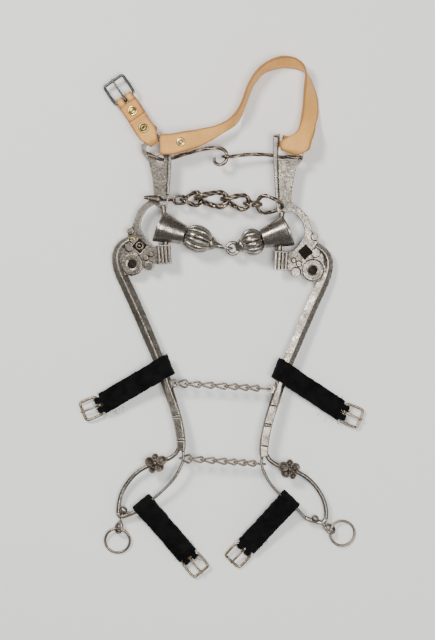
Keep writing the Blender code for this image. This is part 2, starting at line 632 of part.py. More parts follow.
def velvet_straps():
    for name, (side, (u, v), bar, out, tilt, length, hole, wall, shear) in VELVETS.items():
        p = place(side, u, v)
        bar_w, out_w = turn(side, *bar), turn(side, *out)
        m = strap_frame(p, bar_w, out_w, 0)
        far = m @ Vector((length, 0, 0))
        fall = math.degrees(math.asin(max(-1, min(1, (far.z - 4.3) / length))))
        m = m @ Matrix.Rotation(math.radians(fall), 4, "Y")
        k = shear if (m.to_3x3() @ Vector((0, 1, 0))).y < 0 else -shear
        end = velvet(name + "_velvet_strap", m, length, hole, wall, k)
        level = Matrix.Rotation(math.radians(-2.0), 4, "Y")
        buckle(name + "_buckle", end @ level, 21.6, 18.0)


def ribbon_edges(rows):
    return [r[0] for r in rows], [r[1] for r in rows]


def leather_strap():
    """Strap from eye to eye, in two lengths that part on the fold line."""
    left = [((-43, 182.0, 12.4), (-43, 167.4, 12.4)), ((-51, 181.8, 12.3), (-51, 166.8, 12.3)),
            ((-56, 179.6, 12.8), (-55.6, 166.2, 12.8)), ((-58.6, 178.6, 14.8), (-58.2, 166.2, 14.8)),
            ((-59.6, 178.2, 17.6), (-59.4, 166.2, 17.6)), ((-60, 178.4, 20), (-59.8, 166.2, 20)),
            ((-61, 181, 22), (-60.8, 165, 22)), ((-61.4, 183.4, 23.6), (-61.2, 163.8, 23.6)),
            ((-60.4, 184, 24.9), (-60.2, 163.4, 24.9)), ((-58.4, 184.2, 25.2), (-58.2, 163.4, 25.2)),
            ((-50.5, 184.6, 24.4), (-50, 163.8, 24.4)),
            ((-36.5, 187.2, 24.2), (-36.5, 167.2, 24.2)), ((-29, 188.4, 22.2), (-29, 169.6, 21.6)),
            ((-22, 190, 20.0), (-21.4, 172.6, 18.2)), ((-12, 192, 18.6), (-11.4, 178, 15.6)),
            ((-4, 194.4, 18.4), (-3.6, 183, 14.4)), ((FOLD_X - 0.9, 197.6, 18.6), (FOLD_X - 0.9, 187.4, 13.8))]
    right = [((FOLD_X + 0.9, 199, 18.8), (FOLD_X + 0.9, 188.6, 13.6)), ((12, 204.6, 19.8), (12.5, 194, 8.6)),
             ((17.2, 212.2, 20.4), (18.8, 203.2, 3.4)), ((20.8, 220.5, 20.8), (24.2, 218.6, 1.2)),
             ((25.2, 233, 20.8), (29, 231, 1.1)), ((31.3, 243.7, 20.6), (34.6, 240, 1.1)),
             ((39.5, 252.6, 20.4), (41.6, 247, 1.1)), ((49.5, 259, 20), (50.8, 250.2, 1.1)),
             ((61.5, 262, 19.4), (61.5, 252.3, 1.1)), ((72.5, 260.4, 18.8), (71, 251.8, 1.1)),
             ((80.2, 254.4, 18.4), (79, 249.6, 1.1)), ((83, 247.4, 18.2), (84.6, 246, 1.1)),
             ((82.6, 238, 18), (90, 237, 1.1)), ((81, 224, 17), (94.6, 223, 1.1)), ((79.8, 209, 16), (96, 208, 1.4)),
             ((77, 194.6, 18), (93.4, 193.6, 10)), ((73, 186, 20.4), (91.5, 184.4, 18)),
             ((62.6, 180.6, 21.9), (89.4, 178, 20.4)), ((57.4, 176.6, 22.2), (88, 172.8, 20.8)),
             ((56.8, 173, 21.8), (86.4, 168.6, 20.8)), ((57.6, 169.9, 20.4), (80.6, 165.8, 20.2)),
             ((58.4, 169.2, 17), (74.6, 164.2, 17.2)), ((58.8, 169.9, 12.6), (74.6, 164.6, 9)),
             ((59, 172.8, 10.8), (75, 168.4, 7.1)), ((59.6, 178, 10.5), (75.4, 173.6, 6.6)),
             ((60.4, 184, 10.5), (76, 180, 6.6))]
    make("left_leather_strap", ribbon(*ribbon_edges(left), STRAP_T), "leather", (-57.7, 174, AXIS_Z))
    make("right_leather_strap", ribbon(*ribbon_edges(right), STRAP_T), "leather", (FOLD_X, 174, AXIS_Z))


def rivet(name, ob, at, up, head, pin, top, bottom, foot, look="brass"):
    """Headed rivet through a strap; the strap gets the clearance hole."""
    at, up = Vector(at), Vector(up).normalized()
    cut(ob, lathe([(-9, 0), (-9, pin + 0.25), (9, pin + 0.25), (9, 0)], at, up, 10))
    prof = [(bottom - 1.2, 0), (bottom - 1.2, foot), (bottom, foot), (bottom, pin), (top, pin), (top, head),
            (top + 0.9, head - 0.5), (top + 1.1, 0.0)]
    make(name, lathe(prof, at, up, 14), look, at)


def leather_tab():
    """Short buckle tab folded round the slanted top bar of the left eye."""
    m = cheek_frame("left")
    bar_dir = turn("left", 0.866, 0.5)
    start = place("left", -14.6 + 0.866 * 8.8, 85.5 + 0.5 * 8.8)
    out = turn("left", -0.5, 0.866)
    frame = Matrix((out, bar_dir, out.cross(bar_dir))).transposed().to_4x4()
    if out.cross(bar_dir).z < 0:
        frame = Matrix((out, -bar_dir, out.cross(-bar_dir))).transposed().to_4x4()
    frame.translation = start
    reach, half, wrap_half, end_half = 49.0, 10.0, 5.4, 8.6
    rows = [(11, -4.7, half), (7, -4.7, half), (3.4, -4.5, wrap_half), (-1.5, -4.4, wrap_half),
            (-3.9, -2.6, wrap_half), (-4.9, 0, wrap_half), (-3.9, 2.6, wrap_half), (-1.5, 4.4, wrap_half),
            (3.4, 4.7, wrap_half), (7, 4.7, half), (20, 4.7, half), (28, 1.1, half),
            (reach - 8, 1.1, half), (reach - 4.6, 2.6, end_half), (reach - 1.6, 3.0, end_half),
            (reach + 1.6, 2.7, end_half), (reach + 3.2, 1.1, end_half), (reach + 3.2, -1.1, end_half),
            (reach + 1.6, -2.7, end_half), (reach - 1.6, -3.0, end_half), (reach - 4.6, -2.6, end_half),
            (reach - 8, -1.05, half), (reach - 22, -1.05, half)]
    a = [frame @ Vector((x, -h, z)) for x, z, h in rows]
    b = [frame @ Vector((x, h, z)) for x, z, h in rows]
    tab = make("buckle_tab", ribbon(a, b, 1.6), "leather", start)
    end = frame @ Matrix.Translation((reach, 0, 0))
    box = lambda x0, x1, y0, y1: plate([(x0, y0), (x1, y0), (x1, y1), (x0, y1)], -9, 9, end)
    cut(tab, box(-5.4, 9, -2.4, 2.4))
    buckle("tab_buckle", end, 25.4, 22.0, 1.45, "dark_iron")
    up = (frame.to_3x3() @ Vector((0, 0, 1))).normalized()
    rivet("tab_rivet_upper", tab, frame @ Vector((reach - 14.5, 0, 0)), up, 4.6, 1.2, 2.1, -2.05, 3.0)
    rivet("tab_rivet_lower", tab, frame @ Vector((13.8, 0, 0)), up, 5.0, 1.2, 5.7, 3.7, 3.0)


def details():
    strap = bpy.data.objects["left_leather_strap"]
    rivet("strap_eyelet", strap, (-41.6, 176.2, 24.2), (0, 0, 1), 4.6, 1.6, 1.2, -1.2, 3.0)
    m = cheek_frame("left")
    ob = make("left_boss_rivet", disc(4.0, 1.0, 2.6, m, -26.3, -15.3, 14), "brass", place("left", -26.3, -15.3))
    join(ob, disc(1.3, -2.2, 2, m, -26.3, -15.3, 8), disc(2.6, -3.0, -2.1, m, -26.3, -15.3, 10))


def build():
    clear_scene()
    for side in ("left", "right"):
        cheek(side)
        canon(side)
        melon(side)
        eye, axis, flat = swivel(side)
        rein_ring(side, eye, axis, flat)
        rosette(side)
    top_rods()
    curb_chain()
    shank_chain("upper_chain", -154.3, 0.0, 4.6)
    shank_chain("lower_chain", -229.5, 0.0, 5.2)
    velvet_straps()
    leather_strap()
    leather_tab()
    details()


build()
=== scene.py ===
"""Looks of the long-shanked curb bit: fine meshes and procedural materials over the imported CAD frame."""
import json
import math
import random

import bmesh
import bpy
from mathutils import Matrix, Vector, noise

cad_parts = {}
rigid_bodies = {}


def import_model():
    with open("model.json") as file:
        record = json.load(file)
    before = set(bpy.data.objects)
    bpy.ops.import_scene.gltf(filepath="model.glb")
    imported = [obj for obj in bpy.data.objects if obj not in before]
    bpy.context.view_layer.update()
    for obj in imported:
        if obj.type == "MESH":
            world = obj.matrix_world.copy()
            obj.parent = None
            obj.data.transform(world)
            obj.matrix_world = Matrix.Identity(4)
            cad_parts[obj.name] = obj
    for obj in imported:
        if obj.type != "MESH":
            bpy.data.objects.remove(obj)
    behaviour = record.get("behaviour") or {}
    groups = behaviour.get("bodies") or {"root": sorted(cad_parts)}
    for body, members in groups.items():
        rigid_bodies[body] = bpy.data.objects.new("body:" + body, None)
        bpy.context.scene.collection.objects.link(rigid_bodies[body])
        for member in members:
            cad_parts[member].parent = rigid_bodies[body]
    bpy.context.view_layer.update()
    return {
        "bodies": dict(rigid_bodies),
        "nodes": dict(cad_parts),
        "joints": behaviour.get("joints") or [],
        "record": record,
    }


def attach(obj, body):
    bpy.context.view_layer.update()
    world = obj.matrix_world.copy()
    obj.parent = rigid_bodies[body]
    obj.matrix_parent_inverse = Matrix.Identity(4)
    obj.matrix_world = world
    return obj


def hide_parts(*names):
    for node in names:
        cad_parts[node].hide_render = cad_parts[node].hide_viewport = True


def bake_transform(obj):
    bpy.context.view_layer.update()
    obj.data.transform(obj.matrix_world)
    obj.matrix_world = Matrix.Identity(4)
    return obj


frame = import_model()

random.seed(11)
MM = 0.001
CENTRE = Vector((0.81, -1.55, -0.1))
AXIS_Z, HALF_SPAN, FOLD_X = 16.2, 57.7, 4.5
PIVOT_Y = {"left": 90.0, "right": 84.0}
LEAN, DROOP = math.radians(3.74), math.radians(9.0)

# wires and sheets, in mm
ROD_R, CHAIN_WIRE_R, RING_WIRE_R, SWIVEL_WIRE_R = 1.92, 1.10, 1.28, 1.6
RING_R = 12.4
LINKS_A_SIDE = 4
LEATHER_THICK, TAB_THICK, TAB_LAYER_THICK = 2.0, 1.6, 1.3
EYELET_AT = (-41.6, 176.2, 24.2)
VELVET_WIDTH = 21.0
YARNS = 44
BUCKLE_SWELL = 0.22


# ---------------------------------------------------------------- shapes, in mm
def cheek_frame(side):
    s = 1.0 if side == "left" else -1.0
    cl, sl, cd, sd = math.cos(LEAN), math.sin(LEAN), math.cos(DROOP), math.sin(DROOP)
    m = Matrix((Vector((s * cl * cd, sl * cd, sd)), Vector((-s * sl, cl, 0.0)),
                Vector((-s * cl * sd, -sl * sd, cd)))).transposed().to_4x4()
    m.translation = Vector((-s * HALF_SPAN, PIVOT_Y[side], AXIS_Z))
    return m


def place(side, u, v):
    return cheek_frame(side) @ Vector((u, v, 0.0))


def turn(side, u, v, w=0.0):
    return (cheek_frame(side).to_3x3() @ Vector((u, v, w))).normalized()


def round_section(r, n=16):
    turns = [math.tau * (i + 0.5) / n for i in range(n)]
    return [(r * math.cos(a), r * math.sin(a)) for a in turns]


def oval(rx, ry, n, x=0.0, y=0.0):
    turns = [math.tau * i / n for i in range(n)]
    return [(x + rx * math.cos(a), y + ry * math.sin(a)) for a in turns]


def tangents(pts, closed):
    n = len(pts)
    return [((pts[(i + 1) % n] if closed or i < n - 1 else pts[-1])
             - (pts[(i - 1) % n] if closed or i else pts[0])).normalized() for i in range(n)]


def frames(pts, closed, up):
    tans = tangents(pts, closed)
    if up is not None:
        return tans, [(up - t * up.dot(t)).normalized() for t in tans]
    seed = Vector((0, 0, 1)) if abs(tans[0].z) < 0.8 else Vector((0, 1, 0))
    side = (seed - tans[0] * seed.dot(tans[0])).normalized()
    sides = []
    for t in tans:
        side = (side - t * side.dot(t)).normalized()
        sides.append(side)
    if closed:
        last = (sides[-1] - tans[0] * sides[-1].dot(tans[0])).normalized()
        slip = math.atan2(sides[0].cross(last).dot(tans[0]), sides[0].dot(last))
        sides = [Matrix.Rotation(-slip * i / len(pts), 3, tans[i]) @ s for i, s in enumerate(sides)]
    return tans, sides


def skin(bm, rings, closed):
    n, m = len(rings), len(rings[0])
    for i in range(n if closed else n - 1):
        a, b = rings[i], rings[(i + 1) % n]
        for j in range(m):
            bm.faces.new((a[j], a[(j + 1) % m], b[(j + 1) % m], b[j]))
    if not closed:
        bm.faces.new(list(reversed(rings[0])))
        bm.faces.new(rings[-1])


def sweep(pts, section, closed=False, up=None, twist=0.0, scale=None):
    """Solid carried along a path; twist counts how often the section turns on the way."""
    pts = [Vector(p) for p in pts]
    tans, sides = frames(pts, closed, up)
    bm = bmesh.new()
    rings = []
    for i, p in enumerate(pts):
        outline = section[i] if isinstance(section[0], list) else section
        a = math.tau * twist * i / len(pts)
        side = Matrix.Rotation(a, 3, tans[i]) @ sides[i] if twist else sides[i]
        across = tans[i].cross(side)
        k = scale[i] if scale else 1.0
        rings.append([bm.verts.new(p + across * (x * k) + side * (y * k)) for x, y in outline])
    skin(bm, rings, closed)
    return bm


def smooth_path(pts, per=8):
    pts = [Vector(p) for p in pts]
    out = []
    for i in range(len(pts) - 1):
        a, b, c, d = pts[max(i - 1, 0)], pts[i], pts[i + 1], pts[min(i + 2, len(pts) - 1)]
        for j in range(per):
            t = j / per
            out.append(0.5 * ((2 * b) + (c - a) * t + (2 * a - 5 * b + 4 * c - d) * t * t
                              + (3 * b - a - 3 * c + d) * t ** 3))
    out.append(pts[-1])
    return out


def resample(pts, step):
    """The same path with evenly spaced points."""
    pts = [Vector(p) for p in pts]
    out, left = [pts[0]], step
    for a, b in zip(pts, pts[1:]):
        d = (b - a).length
        while d >= left and d > 0:
            a = a + (b - a) * (left / d)
            out.append(a.copy())
            d = (b - a).length
            left = step
        left -= d
    return out + [pts[-1]]


def lathe(profile, start, axis, segs=96, ribs=0, depth=0.0, power=1.0):
    start, axis = Vector(start), Vector(axis).normalized()
    upright = abs(axis.z) >= 0.9
    x = axis.orthogonal().normalized() if upright else (Vector((0, 0, 1)) - axis * axis.z).normalized()
    y = axis.cross(x)
    bm = bmesh.new()
    rings = []
    for s, r in profile:
        c = start + axis * s
        if r <= 1e-6:
            rings.append([bm.verts.new(c)])
            continue
        ring = []
        for i in range(segs):
            a = math.tau * i / segs
            k = 1.0 - depth * (1 - abs(math.sin(ribs * a / 2))) ** power if ribs and r > 6 else 1.0
            ring.append(bm.verts.new(c + (x * math.cos(a) + y * math.sin(a)) * (r * k)))
        rings.append(ring)
    open_ends = len(rings[0]) == 1
    for i in range(len(rings) - (1 if open_ends else 0)):
        a, b = rings[i], rings[(i + 1) % len(rings)]
        for j in range(segs):
            k = (j + 1) % segs
            if len(a) == 1:
                bm.faces.new((a[0], b[k], b[j]))
            elif len(b) == 1:
                bm.faces.new((a[j], a[k], b[0]))
            else:
                bm.faces.new((a[j], a[k], b[k], b[j]))
    return bm


def plate(outline, low, high, matrix):
    bm = bmesh.new()
    a = [bm.verts.new(matrix @ Vector((x, y, low))) for x, y in outline]
    b = [bm.verts.new(matrix @ Vector((x, y, high))) for x, y in outline]
    n = len(outline)
    for i in range(n):
        bm.faces.new((a[i], a[(i + 1) % n], b[(i + 1) % n], b[i]))
    bm.faces.new(list(reversed(a)))
    bm.faces.new(b)
    return bm


def disc(r, low, high, matrix, x=0.0, y=0.0, n=48):
    return plate(oval(r, r, n, x, y), low, high, matrix)


def ring(centre, x, y, r, wire, n=96, m=20):
    pts = [centre + x * (r * math.cos(math.tau * i / n)) + y * (r * math.sin(math.tau * i / n))
           for i in range(n)]
    return sweep(pts, round_section(wire, m), closed=True, up=x.cross(y))


def ball(centre, r, axis):
    prof = [(-r * math.cos(math.pi * i / 20), r * math.sin(math.pi * i / 20)) for i in range(21)]
    prof[0], prof[-1] = (-r, 0.0), (r, 0.0)
    return lathe(prof, centre, axis, 40)


# ---------------------------------------------------------------- objects
def make(name, bm, mat):
    bmesh.ops.recalc_face_normals(bm, faces=bm.faces)
    for v in bm.verts:
        v.co = (v.co + CENTRE) * MM
    for f in bm.faces:
        f.smooth = True
    mesh = bpy.data.meshes.new(name)
    bm.to_mesh(mesh)
    bm.free()
    ob = bpy.data.objects.new(name, mesh)
    bpy.context.scene.collection.objects.link(ob)
    if mat is not None:
        ob.data.materials.append(mat)
    return ob


def settle(ob):
    """Applies an object's modifiers to its mesh and keeps its materials."""
    mats = [m for m in ob.data.materials]
    bpy.context.view_layer.update()
    mesh = bpy.data.meshes.new_from_object(ob.evaluated_get(bpy.context.evaluated_depsgraph_get()))
    ob.modifiers.clear()
    ob.data = mesh
    mesh.materials.clear()
    for m in mats:
        mesh.materials.append(m)


def combine(ob, kind, bm):
    tool = make("tool", bm, None)
    mod = ob.modifiers.new(kind, "BOOLEAN")
    mod.operation, mod.object, mod.solver = kind, tool, "EXACT"
    settle(ob)
    bpy.data.objects.remove(tool, do_unlink=True)


def join(ob, *shapes):
    for bm in shapes:
        combine(ob, "UNION", bm)


def cut(ob, *shapes):
    for bm in shapes:
        combine(ob, "DIFFERENCE", bm)


def remesh(ob, voxel, rounds, factor=0.5):
    """Even fine skin with softened edges, like filed and worn metal."""
    mod = ob.modifiers.new("remesh", "REMESH")
    mod.mode, mod.voxel_size, mod.use_smooth_shade = "VOXEL", voxel * MM, True
    if rounds:
        mod = ob.modifiers.new("smooth", "SMOOTH")
        mod.iterations, mod.factor = rounds, factor
    settle(ob)
    ob.data.polygons.foreach_set("use_smooth", [True] * len(ob.data.polygons))
    return ob


def roughen(ob, *layers):
    """Uneven surface: layers of (amount in mm, size in mm)."""
    ob.data.update()
    normals = [v.normal.copy() for v in ob.data.vertices]
    for v, n in zip(ob.data.vertices, normals):
        p = v.co / MM
        d = sum(a * noise.noise(p / size) for a, size in layers)
        v.co = v.co + n * (d * MM)
    ob.data.update()
    return ob


def copy_node(name, node, mat):
    ob = bpy.data.objects.new(name, frame["nodes"][node].data.copy())
    bpy.context.scene.collection.objects.link(ob)
    bm = bmesh.new()
    bm.from_mesh(ob.data)
    bmesh.ops.remove_doubles(bm, verts=bm.verts, dist=0.000002)
    bm.to_mesh(ob.data)
    bm.free()
    ob.data.materials.clear()
    ob.data.materials.append(mat)
    return ob


def fit(ob, body, slot, *nodes):
    """Puts a finished piece on its CAD body in place of CAD nodes."""
    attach(ob, body)
    if nodes:
        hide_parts(*nodes)
    return ob


# ---------------------------------------------------------------- materials
def node_kit(name):
    mat = bpy.data.materials.new(name)
    mat.use_nodes = True
    tree = mat.node_tree
    bsdf = tree.nodes["Principled BSDF"]
    coord = tree.nodes.new("ShaderNodeTexCoord")

    def add(kind, **props):
        n = tree.nodes.new(kind)
        for k, v in props.items():
            setattr(n, k, v)
        return n

    def noise_tex(scale, detail=6.0, rough=0.55, stretch=None):
        n = add("ShaderNodeTexNoise")
        n.inputs["Scale"].default_value = scale
        n.inputs["Detail"].default_value = detail
        n.inputs["Roughness"].default_value = rough
        if stretch:
            mp = add("ShaderNodeMapping")
            mp.inputs["Scale"].default_value = stretch
            tree.links.new(coord.outputs["Object"], mp.inputs["Vector"])
            tree.links.new(mp.outputs["Vector"], n.inputs["Vector"])
        else:
            tree.links.new(coord.outputs["Object"], n.inputs["Vector"])
        return n.outputs["Fac"]

    def ramp(fac, *stops):
        r = add("ShaderNodeValToRGB")
        while len(r.color_ramp.elements) < len(stops):
            r.color_ramp.elements.new(0.5)
        for e, (pos, col) in zip(r.color_ramp.elements, stops):
            e.position = pos
            e.color = (*col, 1) if isinstance(col, tuple) else (col, col, col, 1)
        tree.links.new(fac, r.inputs["Fac"])
        return r.outputs["Color"]

    def mix(fac, a, b, blend="MIX"):
        m = add("ShaderNodeMix", data_type="RGBA", blend_type=blend)
        if isinstance(fac, float):
            m.inputs[0].default_value = fac
        else:
            tree.links.new(fac, m.inputs[0])
        for sock, val in ((m.inputs[6], a), (m.inputs[7], b)):
            if isinstance(val, tuple):
                sock.default_value = (*val, 1)
            else:
                tree.links.new(val, sock)
        return m.outputs[2]

    def bump(height, strength, dist, chain=None):
        b = add("ShaderNodeBump")
        b.inputs["Strength"].default_value = strength
        b.inputs["Distance"].default_value = dist
        tree.links.new(height, b.inputs["Height"])
        if chain:
            tree.links.new(chain, b.inputs["Normal"])
        return b.outputs["Normal"]

    return mat, tree, bsdf, coord, add, noise_tex, ramp, mix, bump


def metal(name, dark, mid, bright, rough, wear, pits):
    """Old worked metal: blotchy oxide, pits, bright rubbed edges, and painted shade darkening its hollows."""
    mat, tree, bsdf, coord, add, noise_tex, ramp, mix, bump = node_kit(name)
    blot = noise_tex(90, 7, 0.62)
    fine = noise_tex(900, 5, 0.6)
    vor = add("ShaderNodeTexVoronoi")
    vor.inputs["Scale"].default_value = 620
    tree.links.new(coord.outputs["Object"], vor.inputs["Vector"])
    pit = ramp(vor.outputs["Distance"], (0.05, 0.0), (0.28, 1.0))
    where = ramp(noise_tex(160, 4), (0.44, 0.0), (0.60, 1.0))
    geo = add("ShaderNodeNewGeometry")
    edge = ramp(geo.outputs["Pointiness"], (0.49, 0.0), (0.54, 1.0))
    base = mix(ramp(blot, (0.34, 0.0), (0.62, 1.0)), dark, mid)
    base = mix(ramp(fine, (0.42, 0.0), (0.75, wear)), base, bright)
    base = mix(ramp(edge, (0.0, 0.0), (1.0, 0.55)), base, bright)
    pitting = add("ShaderNodeMath", operation="MULTIPLY")
    inv = add("ShaderNodeMath", operation="SUBTRACT")
    inv.inputs[0].default_value = 1.0
    tree.links.new(pit, inv.inputs[1])
    tree.links.new(inv.outputs[0], pitting.inputs[0])
    tree.links.new(where, pitting.inputs[1])
    base = mix(pitting.outputs[0], base, tuple(c * 0.25 for c in dark))
    # painted shade: low pointiness darkens hollows and engraved grooves, standing in for the shade that falls
    # in them
    hollow = ramp(geo.outputs["Pointiness"], (0.455, 0.85), (0.495, 0.0))
    base = mix(hollow, base, tuple(c * 0.22 for c in dark))
    tree.links.new(base, bsdf.inputs["Base Color"])
    bsdf.inputs["Metallic"].default_value = 1.0
    r = ramp(blot, (0.3, rough[1]), (0.65, rough[0]))
    tree.links.new(r, bsdf.inputs["Roughness"])
    normal = bump(pitting.outputs[0], 0.5 * pits, -0.00022)
    normal = bump(fine, 0.28 * pits, 0.00012, normal)
    normal = bump(blot, 0.35 * pits, 0.0005, normal)
    tree.links.new(normal, bsdf.inputs["Normal"])
    return mat


def leather(name, light, mid, dark):
    """Vegetable-tanned hide: soft blotches, fine grain, darker edges."""
    mat, tree, bsdf, coord, add, noise_tex, ramp, mix, bump = node_kit(name)
    blot = noise_tex(42, 5, 0.6)
    grain = add("ShaderNodeTexVoronoi")
    grain.inputs["Scale"].default_value = 1500
    tree.links.new(coord.outputs["Object"], grain.inputs["Vector"])
    fibre = noise_tex(700, 6, 0.65)
    base = mix(ramp(blot, (0.3, 0.0), (0.7, 1.0)), mid, light)
    base = mix(ramp(fibre, (0.5, 0.0), (0.8, 0.5)), base, dark)
    geo = add("ShaderNodeNewGeometry")
    edge = ramp(geo.outputs["Pointiness"], (0.502, 0.0), (0.535, 1.0))
    base = mix(ramp(edge, (0.0, 0.0), (1.0, 0.8)), base, dark)
    tree.links.new(base, bsdf.inputs["Base Color"])
    tree.links.new(ramp(blot, (0.2, 0.62), (0.8, 0.46)), bsdf.inputs["Roughness"])
    bsdf.inputs["Specular IOR Level"].default_value = 0.35
    n = bump(grain.outputs["Distance"], 0.22, 0.0002)
    n = bump(fibre, 0.3, 0.00015, n)
    n = bump(blot, 0.25, 0.0006, n)
    tree.links.new(n, bsdf.inputs["Normal"])
    return mat


def velvet_cloth(name):
    """Black pile cloth that keeps a faint sheen."""
    mat, tree, bsdf, _, _, noise_tex, ramp, mix, bump = node_kit(name)
    pile = noise_tex(1800, 4, 0.7)
    lay = noise_tex(95, 5, 0.6)
    base = mix(ramp(lay, (0.35, 0.0), (0.7, 1.0)), (0.0018, 0.0018, 0.0022), (0.007, 0.0068, 0.0075))
    base = mix(ramp(pile, (0.6, 0.0), (0.85, 0.5)), base, (0.022, 0.021, 0.022))
    tree.links.new(base, bsdf.inputs["Base Color"])
    bsdf.inputs["Roughness"].default_value = 0.95
    bsdf.inputs["Specular IOR Level"].default_value = 0.08
    bsdf.inputs["Sheen Weight"].default_value = 0.05
    bsdf.inputs["Sheen Roughness"].default_value = 0.4
    n = bump(pile, 0.7, 0.0004)
    n = bump(lay, 0.4, 0.0012, n)
    tree.links.new(n, bsdf.inputs["Normal"])
    return mat


# name, dark oxide, middle tone, rubbed metal, roughness range, wear, pits
STEEL = metal("forged_steel", (0.020, 0.016, 0.012), (0.115, 0.098, 0.08), (0.66, 0.60, 0.52),
              (0.24, 0.50), 0.42, 1.5)
POLISHED = metal("worn_mouthpiece_steel", (0.030, 0.024, 0.018), (0.15, 0.13, 0.108), (0.72, 0.66, 0.58),
                 (0.18, 0.44), 0.42, 1.0)
IRON = metal("dark_chain_iron", (0.010, 0.006, 0.004), (0.048, 0.033, 0.024), (0.44, 0.36, 0.28),
             (0.18, 0.46), 0.25, 1.3)
FLOWER = metal("dark_flower_iron", (0.014, 0.010, 0.007), (0.075, 0.06, 0.047), (0.34, 0.29, 0.24),
               (0.30, 0.6), 0.3, 1.6)
# near-black metal for the socket and seat floors: painted shade in the recesses
RECESS_SHADE = metal("recess_floor_painted_shade", (0.008, 0.006, 0.005), (0.024, 0.019, 0.016), (0.08, 0.066, 0.052),
             (0.6, 0.85), 0.2, 1.5)
WIRE = metal("brown_wire", (0.010, 0.007, 0.005), (0.05, 0.037, 0.027), (0.44, 0.36, 0.28),
             (0.2, 0.46), 0.3, 0.8)
BRASS = metal("old_brass", (0.15, 0.09, 0.015), (0.55, 0.38, 0.085), (0.92, 0.74, 0.30),
              (0.18, 0.40), 0.5, 0.5)
OLIVE = metal("tarnished_brass", (0.05, 0.036, 0.008), (0.22, 0.165, 0.05), (0.60, 0.48, 0.20),
              (0.26, 0.5), 0.4, 0.8)
BUCKLE = metal("buckle_brass", (0.028, 0.018, 0.009), (0.13, 0.092, 0.054), (0.62, 0.50, 0.35),
               (0.2, 0.44), 0.42, 0.6)
GREEN = metal("tab_buckle_iron", (0.014, 0.015, 0.013), (0.065, 0.07, 0.062), (0.34, 0.35, 0.32),
              (0.24, 0.5), 0.35, 1.0)
LEATHER = leather("tan_leather", (0.86, 0.46, 0.125), (0.76, 0.37, 0.085), (0.28, 0.11, 0.025))
# darker copy of the tan leather: painted shade on the tab's upper layer
LEATHER_SHADED = leather("tan_leather_painted_shade", (0.74, 0.37, 0.095), (0.60, 0.27, 0.06), (0.22, 0.085, 0.02))
VELVET = velvet_cloth("black_velvet")

# ---------------------------------------------------------------- cheeks
SEAT_AT = (-26.3, -15.3)
SWIVEL = {"left": ((-60.4, -278.2), (-0.32, -0.947)), "right": ((-54.2, -281.2), (-0.86, -0.51))}
SHANK_LINES = {"left": ((-186.5, 0.5), (-188.6, -0.4), (-209.6, 0.6), (-212.0, -0.5)),
               "right": ((-170.6, 0.3), (-189.4, 0.5), (-191.2, -0.3), (-211.4, 0.4))}


def edge_bar(side):
    """Thick forged inner edge of the branch, filed bright."""
    m = cheek_frame(side)
    rows = {"right": [(11.2, 97, 2.7), (10.4, 80, 2.4), (9.3, 66, 1.9), (7.6, 50, 1.7), (5.9, 36, 1.5)],
            "left": [(11.4, 88, 1.6), (10.7, 80, 1.5), (9.6, 66, 1.4), (7.6, 50, 1.35), (5.7, 34, 1.3)]}[side]
    pts = [m @ Vector((u, v, 0.6)) for u, v, _ in rows]
    secs = [[(-w, -1.6), (w, -1.6), (w, 1.9), (0.6 * w, 2.3), (-0.6 * w, 2.3), (-w, 1.9)]
            for _, _, w in rows]
    return sweep(pts, secs, up=turn(side, 0, 0, 1))


def cheek(side):
    """Forged cheek from its CAD node, with engraved lines, small discs and two seats whose floors are painted
    near-black as shade.
    """
    m = cheek_frame(side)
    ob = copy_node(side + "_forged_cheek", side + "_cheek", STEEL)
    for v, tilt in SHANK_LINES[side]:
        x = 1.2 if v < -200 else (-1.0 if v < -180 else -4.4)
        cut(ob, plate([(x - 7, v - 0.45 - tilt), (x + 7, v - 0.45 + tilt), (x + 7, v + 0.45 + tilt),
                       (x - 7, v + 0.45 - tilt)], 2.1, 8, m))
    join(ob, edge_bar(side), disc(2.6, 1.0, 3.6, m, -20.5, -27.5, 24),
         disc(2.2, 1.0, 3.3, m, -14.8, -24.5, 24))
    cut(ob, disc(5.6, 3.05, 4.4, m, -35, -33, 32))
    remesh(ob, 0.36, 2, 0.4)
    roughen(ob, (0.16, 9.0), (0.08, 2.4), (0.05, 0.9))
    fit(ob, side + "_cheek", "steel", side + "_cheek")
    dish = [(0, 0), (0, 4.15), (0.35, 4.15), (0.2, 2.6), (0.75, 1.4), (0.9, 0)]
    # socket floor in the near-black recess metal: painted shade in the recess
    floor = make(side + "_roundel_socket",
                 lathe(dish, m @ Vector((-35, -33, 1.65)), turn(side, 0, 0, 1), 40), RECESS_SHADE)
    roughen(floor, (0.1, 1.5))
    fit(floor, side + "_cheek", "steel")
    x, y = SEAT_AT
    h = 7.2
    diamond = [(x, y - h), (x + h, y), (x, y + h), (x - h, y)]
    # seat in the near-black recess metal: painted shade in the recess
    seat = make(side + "_square_seat", plate(diamond, 0.75, 1.15, m), RECESS_SHADE)
    if side == "left":
        cut(seat, disc(4.3, 0, 3, m, x, y, 24))
    remesh(seat, 0.2, 2)
    roughen(seat, (0.18, 1.6))
    fit(seat, side + "_cheek", "steel")


# ---------------------------------------------------------------- mouthpiece
MOUTH = {"left": (Vector((-65.5, 93.0, AXIS_Z)), Vector((4.5, 70.5, AXIS_Z))),
         "right": (Vector((67.5, 89.0, AXIS_Z)), Vector((10.3, 70.5, AXIS_Z)))}


